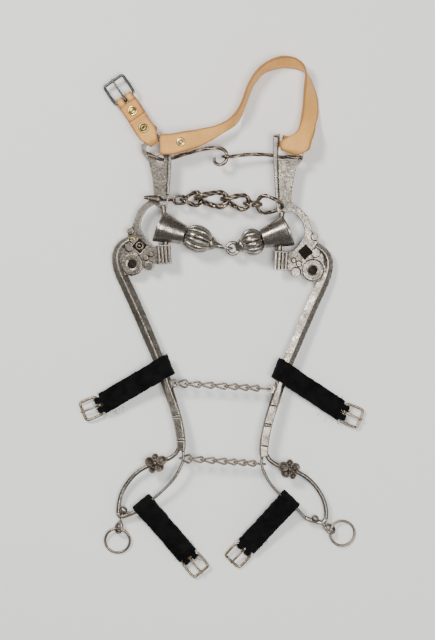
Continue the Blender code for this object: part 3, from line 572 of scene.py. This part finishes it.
def canon(side):
    """Bell, stem and end ring of one half of the mouthpiece."""
    rim, eye = MOUTH[side]
    axis = (eye - rim).normalized()
    reach = (eye - rim).length - (5.2 if side == "left" else 6.4)
    end = 56 if side == "left" else 50
    bell_floor = 24
    prof = [(bell_floor, 0), (bell_floor, 7.6), (14, 11.4), (1.0, 14.0), (0.2, 14.5), (0, 15.2), (0.5, 15.8),
            (1.6, 16.0), (2.6, 15.9), (3.4, 15.55), (4.2, 15.5), (6, 15.1), (10, 14.05), (18, 12.15),
            (25, 10.5), (27.6, 9.95), (28.6, 9.75), (29, 9.2), (29, 3.6), (end, 3.6), (end, 6.9),
            (end + 0.5, 7.4), (end + 2, 7.1), (end + 4, 5.6), (end + 6, 3.8), (end + 8, 2.9), (reach, 2.2),
            (reach, 0)]
    bell = lathe(prof, rim, axis, 120)
    across = Vector((-axis.y, axis.x, 0))
    if across.y < 0:
        across = -across
    for v in bell.verts:
        s = (v.co - rim).dot(axis)
        lift = max(0.0, (v.co - rim).dot(across))
        v.co += axis * (0.17 * lift * max(0.0, 1 - s / bell_floor) ** 0.8)
    ob = make(side + "_bell_canon", bell, POLISHED)
    if side == "left":
        join(ob, ring(eye, Vector((1, 0, 0)), Vector((0, 0, 1)), 4.4, 1.7))
    else:
        join(ob, ring(eye, Vector((1, 0, 0)), Vector((0, 1, 0)), 5.8, 1.9))
    cut(ob, lathe([(-40, 0), (-40, 3.6), (40, 3.6), (40, 0)], place(side, 0, 0), turn(side, 0, 1, 0), 48))
    remesh(ob, 0.34, 2)
    roughen(ob, (0.10, 7.0), (0.03, 1.8))
    fit(ob, side + "_canon", "steel", side + "_canon")


def melon(side):
    """Ribbed hollow bead on the canon's stem."""
    rim, eye = MOUTH[side]
    a, b = (29.4, 55.6) if side == "left" else (29.4, 49.6)
    mid, half = (a + b) / 2, (b - a) / 2
    prof = [(a, 4.1), (a, 8.0), (a + 0.5, 8.7)]
    for i in range(1, 20):
        t = -1 + i / 10
        prof.append((mid + half * 0.96 * t, 13.9 - 5.0 * abs(t) ** 2.4))
    prof += [(b - 0.5, 8.7), (b, 8.0), (b, 4.1)]
    ob = make(side + "_ribbed_melon", lathe(prof, rim, eye - rim, 240, 12, 0.13, 2.2), POLISHED)
    roughen(ob, (0.12, 6.0), (0.04, 1.6))
    fit(ob, side + "_melon", "steel", side + "_melon")


# ---------------------------------------------------------------- links
def link_points(start, end, half, angles, pinch, n):
    """Closed oval from start to end that turns between two angles along its length."""
    start, end = Vector(start), Vector(end)
    along = (end - start).normalized()
    length = (end - start).length
    flat = along.cross(Vector((0, 0, 1))).normalized()
    tall = flat.cross(along)
    r = min(half, length / 2)
    straight = length / 2 - r
    total = 4 * straight + math.tau * r
    pts = []
    for i in range(n):
        d = total * i / n
        if d < math.pi * r:
            a = d / r - math.pi / 2
            s, h = straight + r * math.cos(a), half * math.sin(a)
        elif d < math.pi * r + 2 * straight:
            s, h = straight - (d - math.pi * r), half
        elif d < math.tau * r + 2 * straight:
            a = (d - math.pi * r - 2 * straight) / r + math.pi / 2
            s, h = -straight + r * math.cos(a), half * math.sin(a)
        else:
            s, h = -straight + (d - math.tau * r - 2 * straight), -half
        t = s / length + 0.5
        t = t * t * (3 - 2 * t)
        ang = math.radians(angles[0] + (angles[1] - angles[0]) * t)
        h *= 1.0 - pinch * math.cos(math.pi * s / length) ** 2
        pts.append((start + end) / 2 + along * s + (flat * math.cos(ang) + tall * math.sin(ang)) * h)
    return pts


def twisted_section(r, n=20):
    """Roughly square bar, so that its twist shows."""
    out = []
    for i in range(n):
        a = math.tau * i / n
        reach = r * (0.93 + 0.09 * math.cos(4 * a))
        out.append((reach * math.cos(a), reach * math.sin(a)))
    return out


def shank_chain(name, v, tall):
    """Thin twisted links between the shanks, in two halves that part on the fold."""
    ends = {s: place(s, 0, v) for s in ("left", "right")}
    whole = ends["right"] - ends["left"]
    mid = ends["left"] + whole * ((FOLD_X - ends["left"].x) / whole.x)
    for side, a, b in (("left", ends["left"], mid), ("right", mid, ends["right"])):
        step = (b - a) / LINKS_A_SIDE
        unit = step.normalized()
        for i in range(LINKS_A_SIDE):
            p, q = a + step * i, a + step * (i + 1)
            if i or side == "right":
                p = p - unit * 2.5
            last = side == "right" and i == LINKS_A_SIDE - 1
            outer = last or (side == "left" and i == 0)
            pts = link_points(p, q, tall if outer else 3.1, (90, 90) if last else (90, 0), 0.25, 72)
            node = f"{name}_{side}_link_{i + 1}"
            bar = twisted_section(CHAIN_WIRE_R, 16)
            ob = make(node + "_wire", sweep(pts, bar, closed=True, twist=5), WIRE)
            roughen(ob, (0.1, 1.6))
            fit(ob, node, "dark_iron", node)


def curb_hook(hole):
    """Leaf-ended stem through the cheek, with an eye for the first link."""
    route = ((-19, 2.1, 4.6), (-11, 1.8, 4.7), (-4, 0.6, 4.6), (-0.8, 0, 2.4), (0, 0, 0), (0.8, 0, -2.6),
             (4, 0, -4.5), (9, 0, -3.4), (12.5, 0, -1.2))
    stem = smooth_path([hole + Vector(p) for p in route], 8)
    sections = []
    for i in range(len(stem)):
        t = i / (len(stem) - 1)
        leaf = math.sin(math.pi * t / 0.42) if t < 0.42 else 0.0
        wide, thick = 1.4 + 1.7 * leaf, 1.35 - 0.3 * leaf
        sections.append([(wide * x, thick * y) for x, y in round_section(1.0, 20)])
    ob = make("curb_hook_leaf", sweep(stem, sections), IRON)
    a, b, half = hole.x + 10.7, -35.9, 3.9
    eye = []
    for i in range(80):
        t = math.tau * i / 80
        k = math.copysign(abs(math.cos(t)) ** 0.7, math.cos(t))
        h = math.copysign(abs(math.sin(t)) ** 0.8, math.sin(t))
        eye.append(Vector(((a + b) / 2 + (b - a) / 2 * k, hole.y + half * h, AXIS_Z - 0.6 + 0.5 * k)))
    join(ob, sweep(eye, round_section(1.38, 16), closed=True))
    remesh(ob, 0.3, 2)
    roughen(ob, (0.04, 2.0))
    fit(ob, "curb_hook", "dark_iron", "curb_hook")


def curb_links(hole, far):
    """Five heavy twisted links; the first hangs in the hook's eye and the last in the right cheek."""
    z = AXIS_Z
    joints = [Vector((-36.5, hole.y, z)), Vector((-21.0, 120.2, z)), Vector((FOLD_X, 119.0, z)),
              Vector((26.5, 115.5, z)), Vector((38.5, 114.6, z)), far]
    wires, halves = [2.3, 2.6, 2.2, 1.9, 1.8], [8.0, 7.0, 7.6, 5.4, 9.6]
    turns = [(80, 15), (105, 180), (90, 165), (75, 75), (-15, -65)]
    twists = (2, 3, 3, 2, 2)
    for i in range(5):
        a, b = joints[i].copy(), joints[i + 1].copy()
        back = wires[i] + (wires[i - 1] if i else 1.45) + (0.5 if i else 0.8)
        a -= (b - a).normalized() * back
        if i == 0:
            a = Vector((-36.0 - back, hole.y, z))
        pts = link_points(a, b, halves[i], turns[i], 0.0, 150)
        node = f"curb_link_{i + 1}"
        n = len(pts)
        fat = [1.0 + 0.10 * math.sin(4 * math.pi * k / n + i) + 0.05 * math.sin(10 * math.pi * k / n)
               for k in range(n)]
        bar = twisted_section(wires[i] * (1.12 if i else 0.98), 24)
        ob = make(node + "_twisted", sweep(pts, bar, closed=True, twist=twists[i], scale=fat), IRON)
        roughen(ob, (0.22, 3.4), (0.09, 1.1))
        fit(ob, node, "dark_iron", node)


def top_rods():
    """Wavy cross bar in two halves, hooked through an eye on the fold."""
    z = AXIS_Z
    lh, rh = place("left", 0, 69.5), place("right", 0, 78)
    left = [(lh.x - 14, lh.y + 6, 21.6), (lh.x - 7, lh.y + 3, 21.6), (lh.x - 2.4, lh.y + 0.6, 21.0),
            (lh.x, lh.y, 18.4), (lh.x, lh.y, 14.4), (lh.x + 2.2, lh.y, 11.6), (lh.x + 8, lh.y, 11.0),
            (-50, 160.6, 11.2), (-40, 164.0, 13.2), (-23, 168.5, z), (-10, 170.9, z), (-1.8, 170.2, z),
            (3.0, 167.2, z), (FOLD_X, 162, z), (2.6, 156.6, z), (-3.2, 153.8, z), (-8.0, 157.0, z),
            (-7.4, 161.4, z)]
    pts = resample(smooth_path(left, 6), 0.7)
    fade = [1.0 - 0.45 * max(0.0, (i / len(pts) - 0.93) / 0.07) for i in range(len(pts))]
    ob = make("left_hooked_rod", sweep(pts, twisted_section(ROD_R, 20), twist=2, scale=fade), IRON)
    roughen(ob, (0.12, 5.0), (0.05, 1.2))
    fit(ob, "left_top_rod", "dark_iron", "left_top_rod")
    right = [(8.3, 162, z), (17.5, 163.4, z), (31, 164.4, z - 0.8), (42, 164.2, 13.0), (48, 163.8, 11.4),
             (rh.x - 4, rh.y, 11.2), (rh.x - 0.8, rh.y, 12.8), (rh.x, rh.y, 15.6), (rh.x + 0.4, rh.y, 19),
             (rh.x + 3.2, rh.y - 0.3, 21.4), (rh.x + 9, rh.y - 0.8, 21.6), (rh.x + 17, rh.y - 1.4, 21.6)]
    pts = resample(smooth_path(right, 6), 0.7)
    ob = make("right_eyed_rod", sweep(pts, twisted_section(ROD_R, 20), twist=1.5), IRON)
    join(ob, ring(Vector((FOLD_X, 162, z)), Vector((1, 0, 0)), Vector((0, 0, 1)), 4.1, 1.6))
    remesh(ob, 0.32, 2)
    roughen(ob, (0.1, 4.0), (0.04, 1.2))
    fit(ob, "right_top_rod", "dark_iron", "right_top_rod")


# ---------------------------------------------------------------- rein gear
RING_AT = {"left": (-104.5, -217.0), "right": (118.5, -214.0)}
SPIN = {"left": 50.0, "right": -46.0}


def swivel(side):
    """Turning eye in the shank end, with its rein ring."""
    (bu, bv), (du, dv) = SWIVEL[side]
    head, axis = place(side, bu, bv), turn(side, du, dv, 0)
    ob = make(side + "_swivel_eye", ball(head, 3.9, axis), STEEL)
    neck = lathe([(0, 0), (0, 1.55), (13.6, 1.55), (13.6, 0)], head, axis, 32)
    flat = Matrix.Rotation(math.radians(SPIN[side]), 3, axis) @ axis.cross(Vector((0, 0, 1))).normalized()
    pts = []
    for i in range(72):
        t = math.tau * i / 72
        wide = 4.6 * math.sin(t) * (1.0 + 0.22 * math.cos(t))
        pts.append(head + axis * (18.0 + 5.2 * math.cos(t)) + flat * wide)
    join(ob, neck, sweep(pts, round_section(SWIVEL_WIRE_R, 16), closed=True, up=axis.cross(flat)))
    remesh(ob, 0.26, 3)
    roughen(ob, (0.08, 3.0))
    fit(ob, side + "_swivel", "steel", side + "_swivel")
    eye = head + axis * 18.0
    cx, cy = RING_AT[side]
    out = Vector((cx - eye.x, cy - eye.y, 0)).normalized()
    grip = eye + axis * 1.4
    rise = (grip.z - 1.2) / (2 * RING_R)
    fall = out * math.sqrt(1 - rise * rise) + Vector((0, 0, -rise))
    level = Vector((0, 0, 1)).cross(out).normalized()
    ob = make(side + "_rein_ring_steel",
              ring(grip + fall * RING_R, fall, level, RING_R, RING_WIRE_R, 160, 18), WIRE)
    roughen(ob, (0.05, 4.0))
    fit(ob, side + "_rein_ring", "steel", side + "_rein_ring")


def rosette(side):
    """Five dished petals round a knob, hammered and uneven."""
    m = cheek_frame(side)
    base = m @ Matrix.Translation((-24.5, -233, 0))
    ob = make(side + "_rosette_flower", disc(4.2, 2.5, 4.4, base), FLOWER)
    for k in range(5):
        reach, size = 6.3 + 0.9 * math.sin(2.3 * k + 1), 4.3 + 0.7 * math.cos(3.1 * k)
        turned = base @ Matrix.Rotation(math.tau * k / 5 + 0.35 + 0.12 * math.sin(5 * k), 4, "Z") \
            @ Matrix.Translation((reach, 0, 3.5)) @ Matrix.Rotation(math.radians(10 - 6 * (k % 2)), 4, "Y")
        prof = [(-0.9, 0), (-0.9, size * 0.72), (0.1, size * 0.96), (1.0, size), (1.35, size * 0.86),
                (1.0, size * 0.62), (0.55, size * 0.40), (0.6, size * 0.2), (0.55, 0)]
        petal = lathe(prof, (0, 0, 0), (0, 0, 1), 40)
        for v in petal.verts:
            v.co.x *= 1.0 + 0.10 * math.sin(k + 1)
            v.co = turned @ v.co
        join(ob, petal)
    join(ob, lathe([(0, 0), (0, 2.5), (1.5, 2.3), (2.5, 1.4), (2.9, 0)], base @ Vector((0, 0, 4.0)),
                   turn(side, 0, 0, 1), 32), disc(1.2, -3.4, 3, base), disc(2.6, -4.2, -2.5, base))
    remesh(ob, 0.24, 1)
    roughen(ob, (0.22, 2.6), (0.1, 0.9))
    fit(ob, side + "_cheek", "dark_iron", side + "_rosette")


def boss_rivet():
    """Rivet of the lost brass boss, with three scraps of it."""
    m = cheek_frame("left")
    base = m @ Matrix.Translation((*SEAT_AT, 0))
    prof = [(-3.0, 0), (-3.0, 2.6), (-2.1, 2.6), (-2.1, 1.3), (1.0, 1.3), (1.0, 3.9), (1.6, 4.1), (2.3, 3.8),
            (2.5, 3.2), (2.2, 2.6), (1.9, 2.2), (2.1, 1.6), (2.7, 1.0), (2.9, 0)]
    ob = make("left_boss_rivet_head", lathe(prof, base.translation, turn("left", 0, 0, 1), 48), IRON)
    roughen(ob, (0.12, 1.8))
    fit(ob, "left_cheek", "brass", "left_boss_rivet")
    scraps = ((-33.0, -8.0, 3.4, 2.2), (-31.5, -24.6, 3.8, 2.3), (-36.5, -2.0, 2.4, 2.3))
    for k, (x, y, size, h) in enumerate(scraps):
        pts = []
        for i in range(16):
            a = math.tau * i / 16
            r = size * (0.7 + 0.45 * noise.noise(Vector((3 * math.cos(a), 3 * math.sin(a), k * 7.1))))
            pts.append((x + r * math.cos(a), y + 0.8 * r * math.sin(a)))
        scrap = make(f"left_brass_scrap_{k + 1}", plate(pts, 1.2, h, m), BRASS)
        remesh(scrap, 0.25, 3)
        roughen(scrap, (0.25, 1.6))
        fit(scrap, "left_cheek", "brass")


# ---------------------------------------------------------------- straps
def ribbon(rows, thick, across, per):
    """Band between two edge lines with rounded edges."""
    a = smooth_path([r[0] for r in rows], per)
    b = smooth_path([r[1] for r in rows], per)
    mids = [(p + q) / 2 for p, q in zip(a, b)]
    tans = tangents(mids, False)
    bm = bmesh.new()
    rings = []
    for p, q, t in zip(a, b, tans):
        n = (q - p).cross(t).normalized()
        w = (q - p).length
        e = 0.45 / w
        outline = [(e * 0.35, 0.75), (e, 1.0)] \
            + [(e + (1 - 2 * e) * i / across, 1.0) for i in range(1, across)] \
            + [(1 - e, 1.0), (1 - e * 0.35, 0.75), (1.0, 0.0), (1 - e * 0.35, -0.75), (1 - e, -1.0)] \
            + [(e + (1 - 2 * e) * i / across, -1.0) for i in range(across - 1, 0, -1)] \
            + [(e, -1.0), (e * 0.35, -0.75), (0.0, 0.0)]
        rings.append([bm.verts.new(p + (q - p) * s + n * (h * thick / 2)) for s, h in outline])
    skin(bm, rings, False)
    return bm


# edge lines of the headstall leather, from its end at the left branch to its end behind the right one
LEFT_ROWS = [((-43, 182.0, 12.4), (-43, 167.4, 12.4)), ((-51, 181.8, 12.3), (-51, 166.8, 12.3)),
             ((-56, 179.6, 12.8), (-55.6, 166.2, 12.8)), ((-58.6, 178.6, 14.8), (-58.2, 166.2, 14.8)),
             ((-59.6, 178.2, 17.6), (-59.4, 166.2, 17.6)), ((-60, 178.4, 20), (-59.8, 166.2, 20)),
             ((-61, 181, 22), (-60.8, 165, 22)), ((-61.4, 183.4, 23.6), (-61.2, 163.8, 23.6)),
             ((-60.4, 184, 24.9), (-60.2, 163.4, 24.9)), ((-58.4, 184.2, 25.2), (-58.2, 163.4, 25.2)),
             ((-50.5, 184.6, 24.4), (-50, 163.8, 24.4)),
             ((-36.5, 187.2, 24.2), (-36.5, 167.2, 24.2)), ((-29, 188.4, 22.2), (-29, 169.6, 21.6)),
             ((-22, 190, 20.0), (-21.4, 172.6, 18.2)), ((-12, 192, 18.6), (-11.4, 178, 15.6)),
             ((-4, 194.4, 18.4), (-3.6, 183, 14.4)), ((4.5, 198.3, 18.7), (4.5, 188.0, 13.7))]
RIGHT_ROWS = [((12, 204.6, 19.8), (12.5, 194, 8.6)), ((17.2, 212.2, 20.4), (18.8, 203.2, 3.4)),
              ((20.8, 220.5, 20.8), (24.2, 218.6, 1.2)), ((25.2, 233, 20.8), (29, 231, 1.1)),
              ((31.3, 243.7, 20.6), (34.6, 240, 1.1)), ((39.5, 252.6, 20.4), (41.6, 247, 1.1)),
              ((49.5, 259, 20), (50.8, 250.2, 1.1)), ((61.5, 262, 19.4), (61.5, 252.3, 1.1)),
              ((72.5, 260.4, 18.8), (71, 251.8, 1.1)), ((80.2, 254.4, 18.4), (79, 249.6, 1.1)),
              ((83, 247.4, 18.2), (84.6, 246, 1.1)), ((82.6, 238, 18), (90, 237, 1.1)),
              ((81, 224, 17), (94.6, 223, 1.1)), ((79.8, 209, 16), (96, 208, 1.4)),
              ((77, 194.6, 18), (93.4, 193.6, 10)), ((73, 186, 20.4), (91.5, 184.4, 18)),
              ((62.6, 180.6, 21.9), (89.4, 178, 20.4)), ((57.4, 176.6, 22.2), (88, 172.8, 20.8)),
              ((56.8, 173, 21.8), (86.4, 168.6, 20.8)), ((57.6, 169.9, 20.4), (80.6, 165.8, 20.2)),
              ((58.4, 169.2, 17), (74.6, 164.2, 17.2)), ((58.8, 169.9, 12.6), (74.6, 164.6, 9)),
              ((59, 172.8, 10.8), (75, 168.4, 7.1)), ((59.6, 178, 10.5), (75.4, 173.6, 6.6)),
              ((60.4, 184, 10.5), (76, 180, 6.6))]


def leather_strap():
    """One strap over both CAD halves, bent across the fold, with its eyelet."""
    rows = [(Vector(a), Vector(b)) for a, b in LEFT_ROWS + RIGHT_ROWS]
    ob = make("leather_headstall_strap", ribbon(rows, LEATHER_THICK, 12, 8), LEATHER)
    cut(ob, lathe([(-9, 0), (-9, 1.9), (9, 1.9), (9, 0)], EYELET_AT, (0, 0, 1), 24))
    roughen(ob, (0.35, 16.0), (0.08, 3.0))
    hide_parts("left_leather_strap", "right_leather_strap")
    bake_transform(ob)
    prof = [(-2.4, 1.3), (-2.4, 3.0), (-1.2, 3.0), (-1.2, 1.6), (1.2, 1.6), (1.2, 4.5), (1.5, 4.6),
            (2.1, 4.2), (2.35, 3.4), (2.2, 2.6), (1.9, 2.0), (1.2, 1.35)]
    eye = make("brass_eyelet", lathe(prof, EYELET_AT, (0, 0, 1), 64), BRASS)
    fit(eye, "left_leather_strap", "brass", "strap_eyelet")


def swell(ob, amount):
    """Moves the skin outwards by an amount in mm."""
    ob.data.update()
    normals = [v.normal.copy() for v in ob.data.vertices]
    for v, n in zip(ob.data.vertices, normals):
        v.co = v.co + n * (amount * MM)


def buckle(name, mat, slot):
    """Frame and tongue drawn again over their CAD nodes at finer grain."""
    for node, voxel in ((name, 0.22), (name + "_tongue", 0.18)):
        ob = copy_node(node + "_metal", node, mat)
        remesh(ob, voxel, 3)
        roughen(ob, (0.08, 2.0), (0.03, 0.8))
        swell(ob, BUCKLE_SWELL)
        fit(ob, node, slot, node)


def threads(name, body, spots, mat):
    """Frayed yarn ends along the cut ends of a velvet band."""
    bm = bmesh.new()
    for start, way, length in spots:
        p, d = Vector(start), Vector(way).normalized()
        pts = [p.copy()]
        for _ in range(7):
            stray = (random.uniform(-0.5, 0.5), random.uniform(-0.5, 0.5), random.uniform(-0.25, 0.25))
            d = (d + Vector(stray)).normalized()
            p = p + d * (length / 7)
            p.z = max(p.z, 0.5)
            pts.append(p.copy())
        part = sweep(smooth_path(pts, 3), round_section(0.13, 5))
        mesh = bpy.data.meshes.new("yarn")
        part.to_mesh(mesh)
        part.free()
        bm.from_mesh(mesh)
        bpy.data.meshes.remove(mesh)
    ob = make(name, bm, mat)
    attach(ob, body)


def strap_frame(point, bar, out):
    """Frame of a velvet strap: X away from the cheek, Y along the bar, Z upwards."""
    y = bar.normalized()
    x = (out - y * out.dot(y)).normalized()
    if x.cross(y).z < 0:
        y = -y
    m = Matrix((x, y, x.cross(y))).transposed().to_4x4()
    m.translation = point
    return m


# cheek side, point on the bar, bar direction, way out, length, half hole, wall, shear
VELVETS = {
    "left_upper": ("left", (-12.6, -139.5), (0.3125, -0.95), (-0.95, -0.3125), 75, (8.6, 5.9), 2.4, 0.144),
    "right_upper": ("right", (-13.2, -137.5), (0.3125, -0.95), (-0.95, -0.3125), 74, (8.6, 5.9), 2.4, 0.20),
    "left_lower": ("left", (-38.6, -274.8), (0.82, 0.57), (0.6, -0.8), 73, (4.9, 4.6), 2.0, -0.02),
    "right_lower": ("right", (-25.5, -265.6), (0.78, 0.625), (0.625, -0.78), 68, (4.6, 4.3), 2.0, 0.02)}


def velvet_band(name, m, length, hole, wall, shear):
    """Soft-edged band, as thick as two layers, with a loop round the cheek and one over the buckle bar."""
    (hx, hz), width = hole, VELVET_WIDTH
    ox, oz = hx + wall, hz + wall
    far = length - 3.0
    loop_turns = [-2.0 + 4.0 * k / 16 for k in range(17)]
    loop = [(far + 3.6 * math.cos(a), 3.3 * math.sin(a)) for a in loop_turns]
    back_turns = [math.pi * (0.25 + 1.5 * k / 28) for k in range(29)]
    back = [(ox * math.cos(a), oz * math.sin(a)) for a in back_turns]
    top = [(far - 8, 3.0), (ox + 16, 3.0), (ox + 6, 3.6)]
    under = [(ox + 6, -3.5), (ox + 14, -2.6), (far - 9, -2.6)]
    outline = loop + top + back + under
    skew = Matrix(((1, 0, 0, 0), (0, 0, 1, 0), (0, 1, 0, 0), (0, 0, 0, 1)))
    lean = Matrix.Identity(4)
    lean[1][0] = shear
    pose = m @ lean @ skew
    ob = make(name + "_velvet_band", plate(outline, -width / 2, width / 2, pose), VELVET)
    cut(ob, plate(oval(hx, hz, 32), -width, width, pose))
    bar = m @ Matrix.Translation((far, shear * far, 0))
    cut(ob, plate(oval(2.1, 2.1, 24, far), -width, width, pose))
    for x0, x1, y0, y1 in ((-3.9, 8, -1.7, 1.7), (-3.3, 8, 7.8, width), (-3.3, 8, -width, -7.8)):
        cut(ob, plate([(x0, y0), (x1, y0), (x1, y1), (x0, y1)], -8, 8, bar))
    remesh(ob, 0.52, 5)
    roughen(ob, (0.55, 6.0), (0.35, 1.5), (0.22, 0.7))
    return ob, bar


def velvets():
    """Each velvet band with its buckle and its frayed yarn."""
    for name, (side, (u, v), bar, out, length, hole, wall, shear) in VELVETS.items():
        m = strap_frame(place(side, u, v), turn(side, *bar), turn(side, *out))
        far = m @ Vector((length, 0, 0))
        m = m @ Matrix.Rotation(math.asin(max(-1, min(1, (far.z - 4.3) / length))), 4, "Y")
        k = shear if (m.to_3x3() @ Vector((0, 1, 0))).y < 0 else -shear
        ob, end = velvet_band(name, m, length, hole, wall, k)
        node = name + "_velvet_strap"
        fit(ob, node, "velvet", node)
        buckle(name + "_buckle", BUCKLE, "brass")
        inv = end.to_3x3()
        spots = []
        for i in range(YARNS):
            y = random.uniform(-10.4, 10.4)
            x = -3.6 if abs(y) > 6.5 else 2.9
            if abs(y) < 1.8:
                y += 2.4
            if i % 3 == 0:
                x, y = random.uniform(-24, -7), math.copysign(10.3, y)
            way = (random.uniform(0.1, 1.0), random.uniform(-1.0, 1.0) + y / 14, random.uniform(-0.2, 0.5))
            way = inv @ Vector(way)
            spots.append((end @ Vector((x, y, random.uniform(-1.5, 2.0))), way,
                          random.uniform(1.5, 4.5) if i % 7 else random.uniform(5, 9)))
        threads(name + "_velvet_fray", node, spots, VELVET)


def tab():
    """Leather tab folded round the branch bar and the buckle bar, with a raised layer and two rivets."""
    bar_dir = turn("left", 0.866, 0.5)
    out = turn("left", -0.5, 0.866)
    x, y = out, bar_dir if out.cross(bar_dir).z > 0 else -bar_dir
    frame = Matrix((x, y, x.cross(y))).transposed().to_4x4()
    frame.translation = place("left", -14.6 + 0.866 * 8.8, 85.5 + 0.5 * 8.8)
    reach, half, wrap, end_half = 49.0, 10.0, 5.4, 9.6
    rows = [(11, -4.7, half), (7, -4.7, half), (3.4, -4.5, wrap), (-1.5, -4.4, wrap), (-3.9, -2.6, wrap),
            (-4.9, 0, wrap), (-3.9, 2.6, wrap), (-1.5, 4.4, wrap + 1.2), (3.4, 4.75, 8.6), (7, 4.75, half),
            (20, 4.7, half), (28, 1.1, half), (reach - 8, 1.1, half), (reach - 4.6, 2.6, end_half),
            (reach - 1.6, 3.0, end_half), (reach + 1.6, 2.7, end_half - 0.8),
            (reach + 3.2, 1.1, end_half - 1), (reach + 3.2, -1.1, end_half - 1),
            (reach + 1.6, -2.7, end_half - 0.8), (reach - 1.6, -3.0, end_half),
            (reach - 4.6, -2.6, end_half), (reach - 8, -1.05, half), (reach - 22, -1.05, half)]
    edges = [(frame @ Vector((p, -h, q)), frame @ Vector((p, h, q))) for p, q, h in rows]
    ob = make("leather_buckle_tab", ribbon(edges, TAB_THICK, 12, 5), LEATHER)
    end = frame @ Matrix.Translation((reach, 0, 0))
    cut(ob, plate([(-5.2, -1.7), (9, -1.7), (9, 1.7), (-5.2, 1.7)], -9, 9, end),
        plate([(-2.6, 8.9), (9, 8.9), (9, 20), (-2.6, 20)], -9, 9, end),
        plate([(-2.6, -20), (9, -20), (9, -8.9), (-2.6, -8.9)], -9, 9, end))
    upper, lower = frame @ Vector((reach - 14.5, 0, 0)), frame @ Vector((13.8, 0, 0))
    up = (frame.to_3x3() @ Vector((0, 0, 1))).normalized()
    for at in (upper, lower):
        cut(ob, lathe([(-9, 0), (-9, 1.5), (9, 1.5), (9, 0)], at, up, 24))
    roughen(ob, (0.25, 9.0), (0.07, 2.0))
    fit(ob, "buckle_tab", "leather", "buckle_tab")
    patch = [(reach - 22.5, 2.6, 9.5), (reach - 16, 2.65, 9.8), (reach - 10, 2.65, 9.8),
             (reach - 7, 3.1, 9.5), (reach - 5.2, 3.9, 8.9)]
    edges = [(frame @ Vector((p, -h, q)), frame @ Vector((p, h, q))) for p, q, h in patch]
    # upper layer in the darker leather copy: painted shade on this layer
    top_layer = make("leather_tab_upper_layer", ribbon(edges, TAB_LAYER_THICK, 12, 6), LEATHER_SHADED)
    cut(top_layer, lathe([(-9, 0), (-9, 1.5), (9, 1.5), (9, 0)], upper, up, 24))
    roughen(top_layer, (0.2, 7.0), (0.07, 1.8))
    fit(top_layer, "buckle_tab", "leather")
    buckle("tab_buckle", GREEN, "dark_iron")
    for node, at, top, foot, head, mat in (("tab_rivet_upper", upper, 3.45, -2.05, 4.8, BRASS),
                                           ("tab_rivet_lower", lower, 5.7, 3.7, 5.0, OLIVE)):
        prof = [(foot - 1.2, 0), (foot - 1.2, 2.8), (foot, 3.0), (foot, 1.2), (top, 1.2), (top, head),
                (top + 0.35, head + 0.1), (top + 0.8, head - 0.35), (top + 0.7, head - 1.1),
                (top + 0.45, head - 1.5), (top + 0.5, head - 2.1), (top + 1.0, head - 2.6),
                (top + 1.1, head - 3.1), (top + 0.75, head - 3.6), (top + 0.7, 0)]
        ob = make(node + "_head", lathe(prof, at, up, 72), mat)
        roughen(ob, (0.06, 1.4))
        fit(ob, "buckle_tab", "brass", node)


# ---------------------------------------------------------------- setting
def stage():
    """White floor, soft lights and the camera that looks straight down."""
    mesh = bpy.data.meshes.new("floor")
    s = 3.0
    mesh.from_pydata([(-s, -s, 0), (s, -s, 0), (s, s, 0), (-s, s, 0)], [], [(0, 1, 2, 3)])
    floor = bpy.data.objects.new("floor", mesh)
    bpy.context.scene.collection.objects.link(floor)
    mat = bpy.data.materials.new("paper")
    mat.use_nodes = True
    shader = mat.node_tree.nodes["Principled BSDF"]
    shader.inputs["Base Color"].default_value = (0.93, 0.935, 0.925, 1)
    shader.inputs["Roughness"].default_value = 0.9
    shader.inputs["Specular IOR Level"].default_value = 0.1
    floor.data.materials.append(mat)
    world = bpy.data.worlds.new("studio")
    bpy.context.scene.world = world
    world.use_nodes = True
    world.node_tree.nodes["Background"].inputs["Color"].default_value = (0.95, 0.97, 1.0, 1)
    world.node_tree.nodes["Background"].inputs["Strength"].default_value = 0.27
    for name, at, size, power, tint in (("key", (-0.9, 0.9, 1.5), 0.45, 30.0, (1.0, 0.98, 0.95)),
                                        ("top", (0.5, -0.2, 2.4), 1.0, 44.0, (1.0, 0.98, 0.96)),
                                        ("fill", (1.5, -0.9, 1.0), 0.7, 5.0, (0.95, 0.97, 1.0))):
        light = bpy.data.lights.new(name, "AREA")
        light.size, light.energy, light.color = size, power, tint
        ob = bpy.data.objects.new(name, light)
        bpy.context.scene.collection.objects.link(ob)
        ob.location = at
        ob.rotation_euler = (-Vector(at)).to_track_quat("-Z", "Y").to_euler()
    cam = bpy.data.cameras.new("camera")
    cam.sensor_fit, cam.sensor_height, cam.lens = "VERTICAL", 24.0, 100.0
    ob = bpy.data.objects.new("camera", cam)
    bpy.context.scene.collection.objects.link(ob)
    ob.location = (-0.0042, -0.0026, 0.012 + 0.640 * 100.0 / 24.0)
    bpy.context.scene.camera = ob


def build():
    for side in ("left", "right"):
        cheek(side)
        canon(side)
        melon(side)
        swivel(side)
        rosette(side)
    boss_rivet()
    top_rods()
    hole, far = place("left", 0, 29), place("right", 0, 29)
    curb_hook(hole)
    curb_links(hole, far)
    shank_chain("upper_chain", -154.3, 4.6)
    shank_chain("lower_chain", -229.5, 5.2)
    leather_strap()
    tab()
    velvets()
    stage()


build()
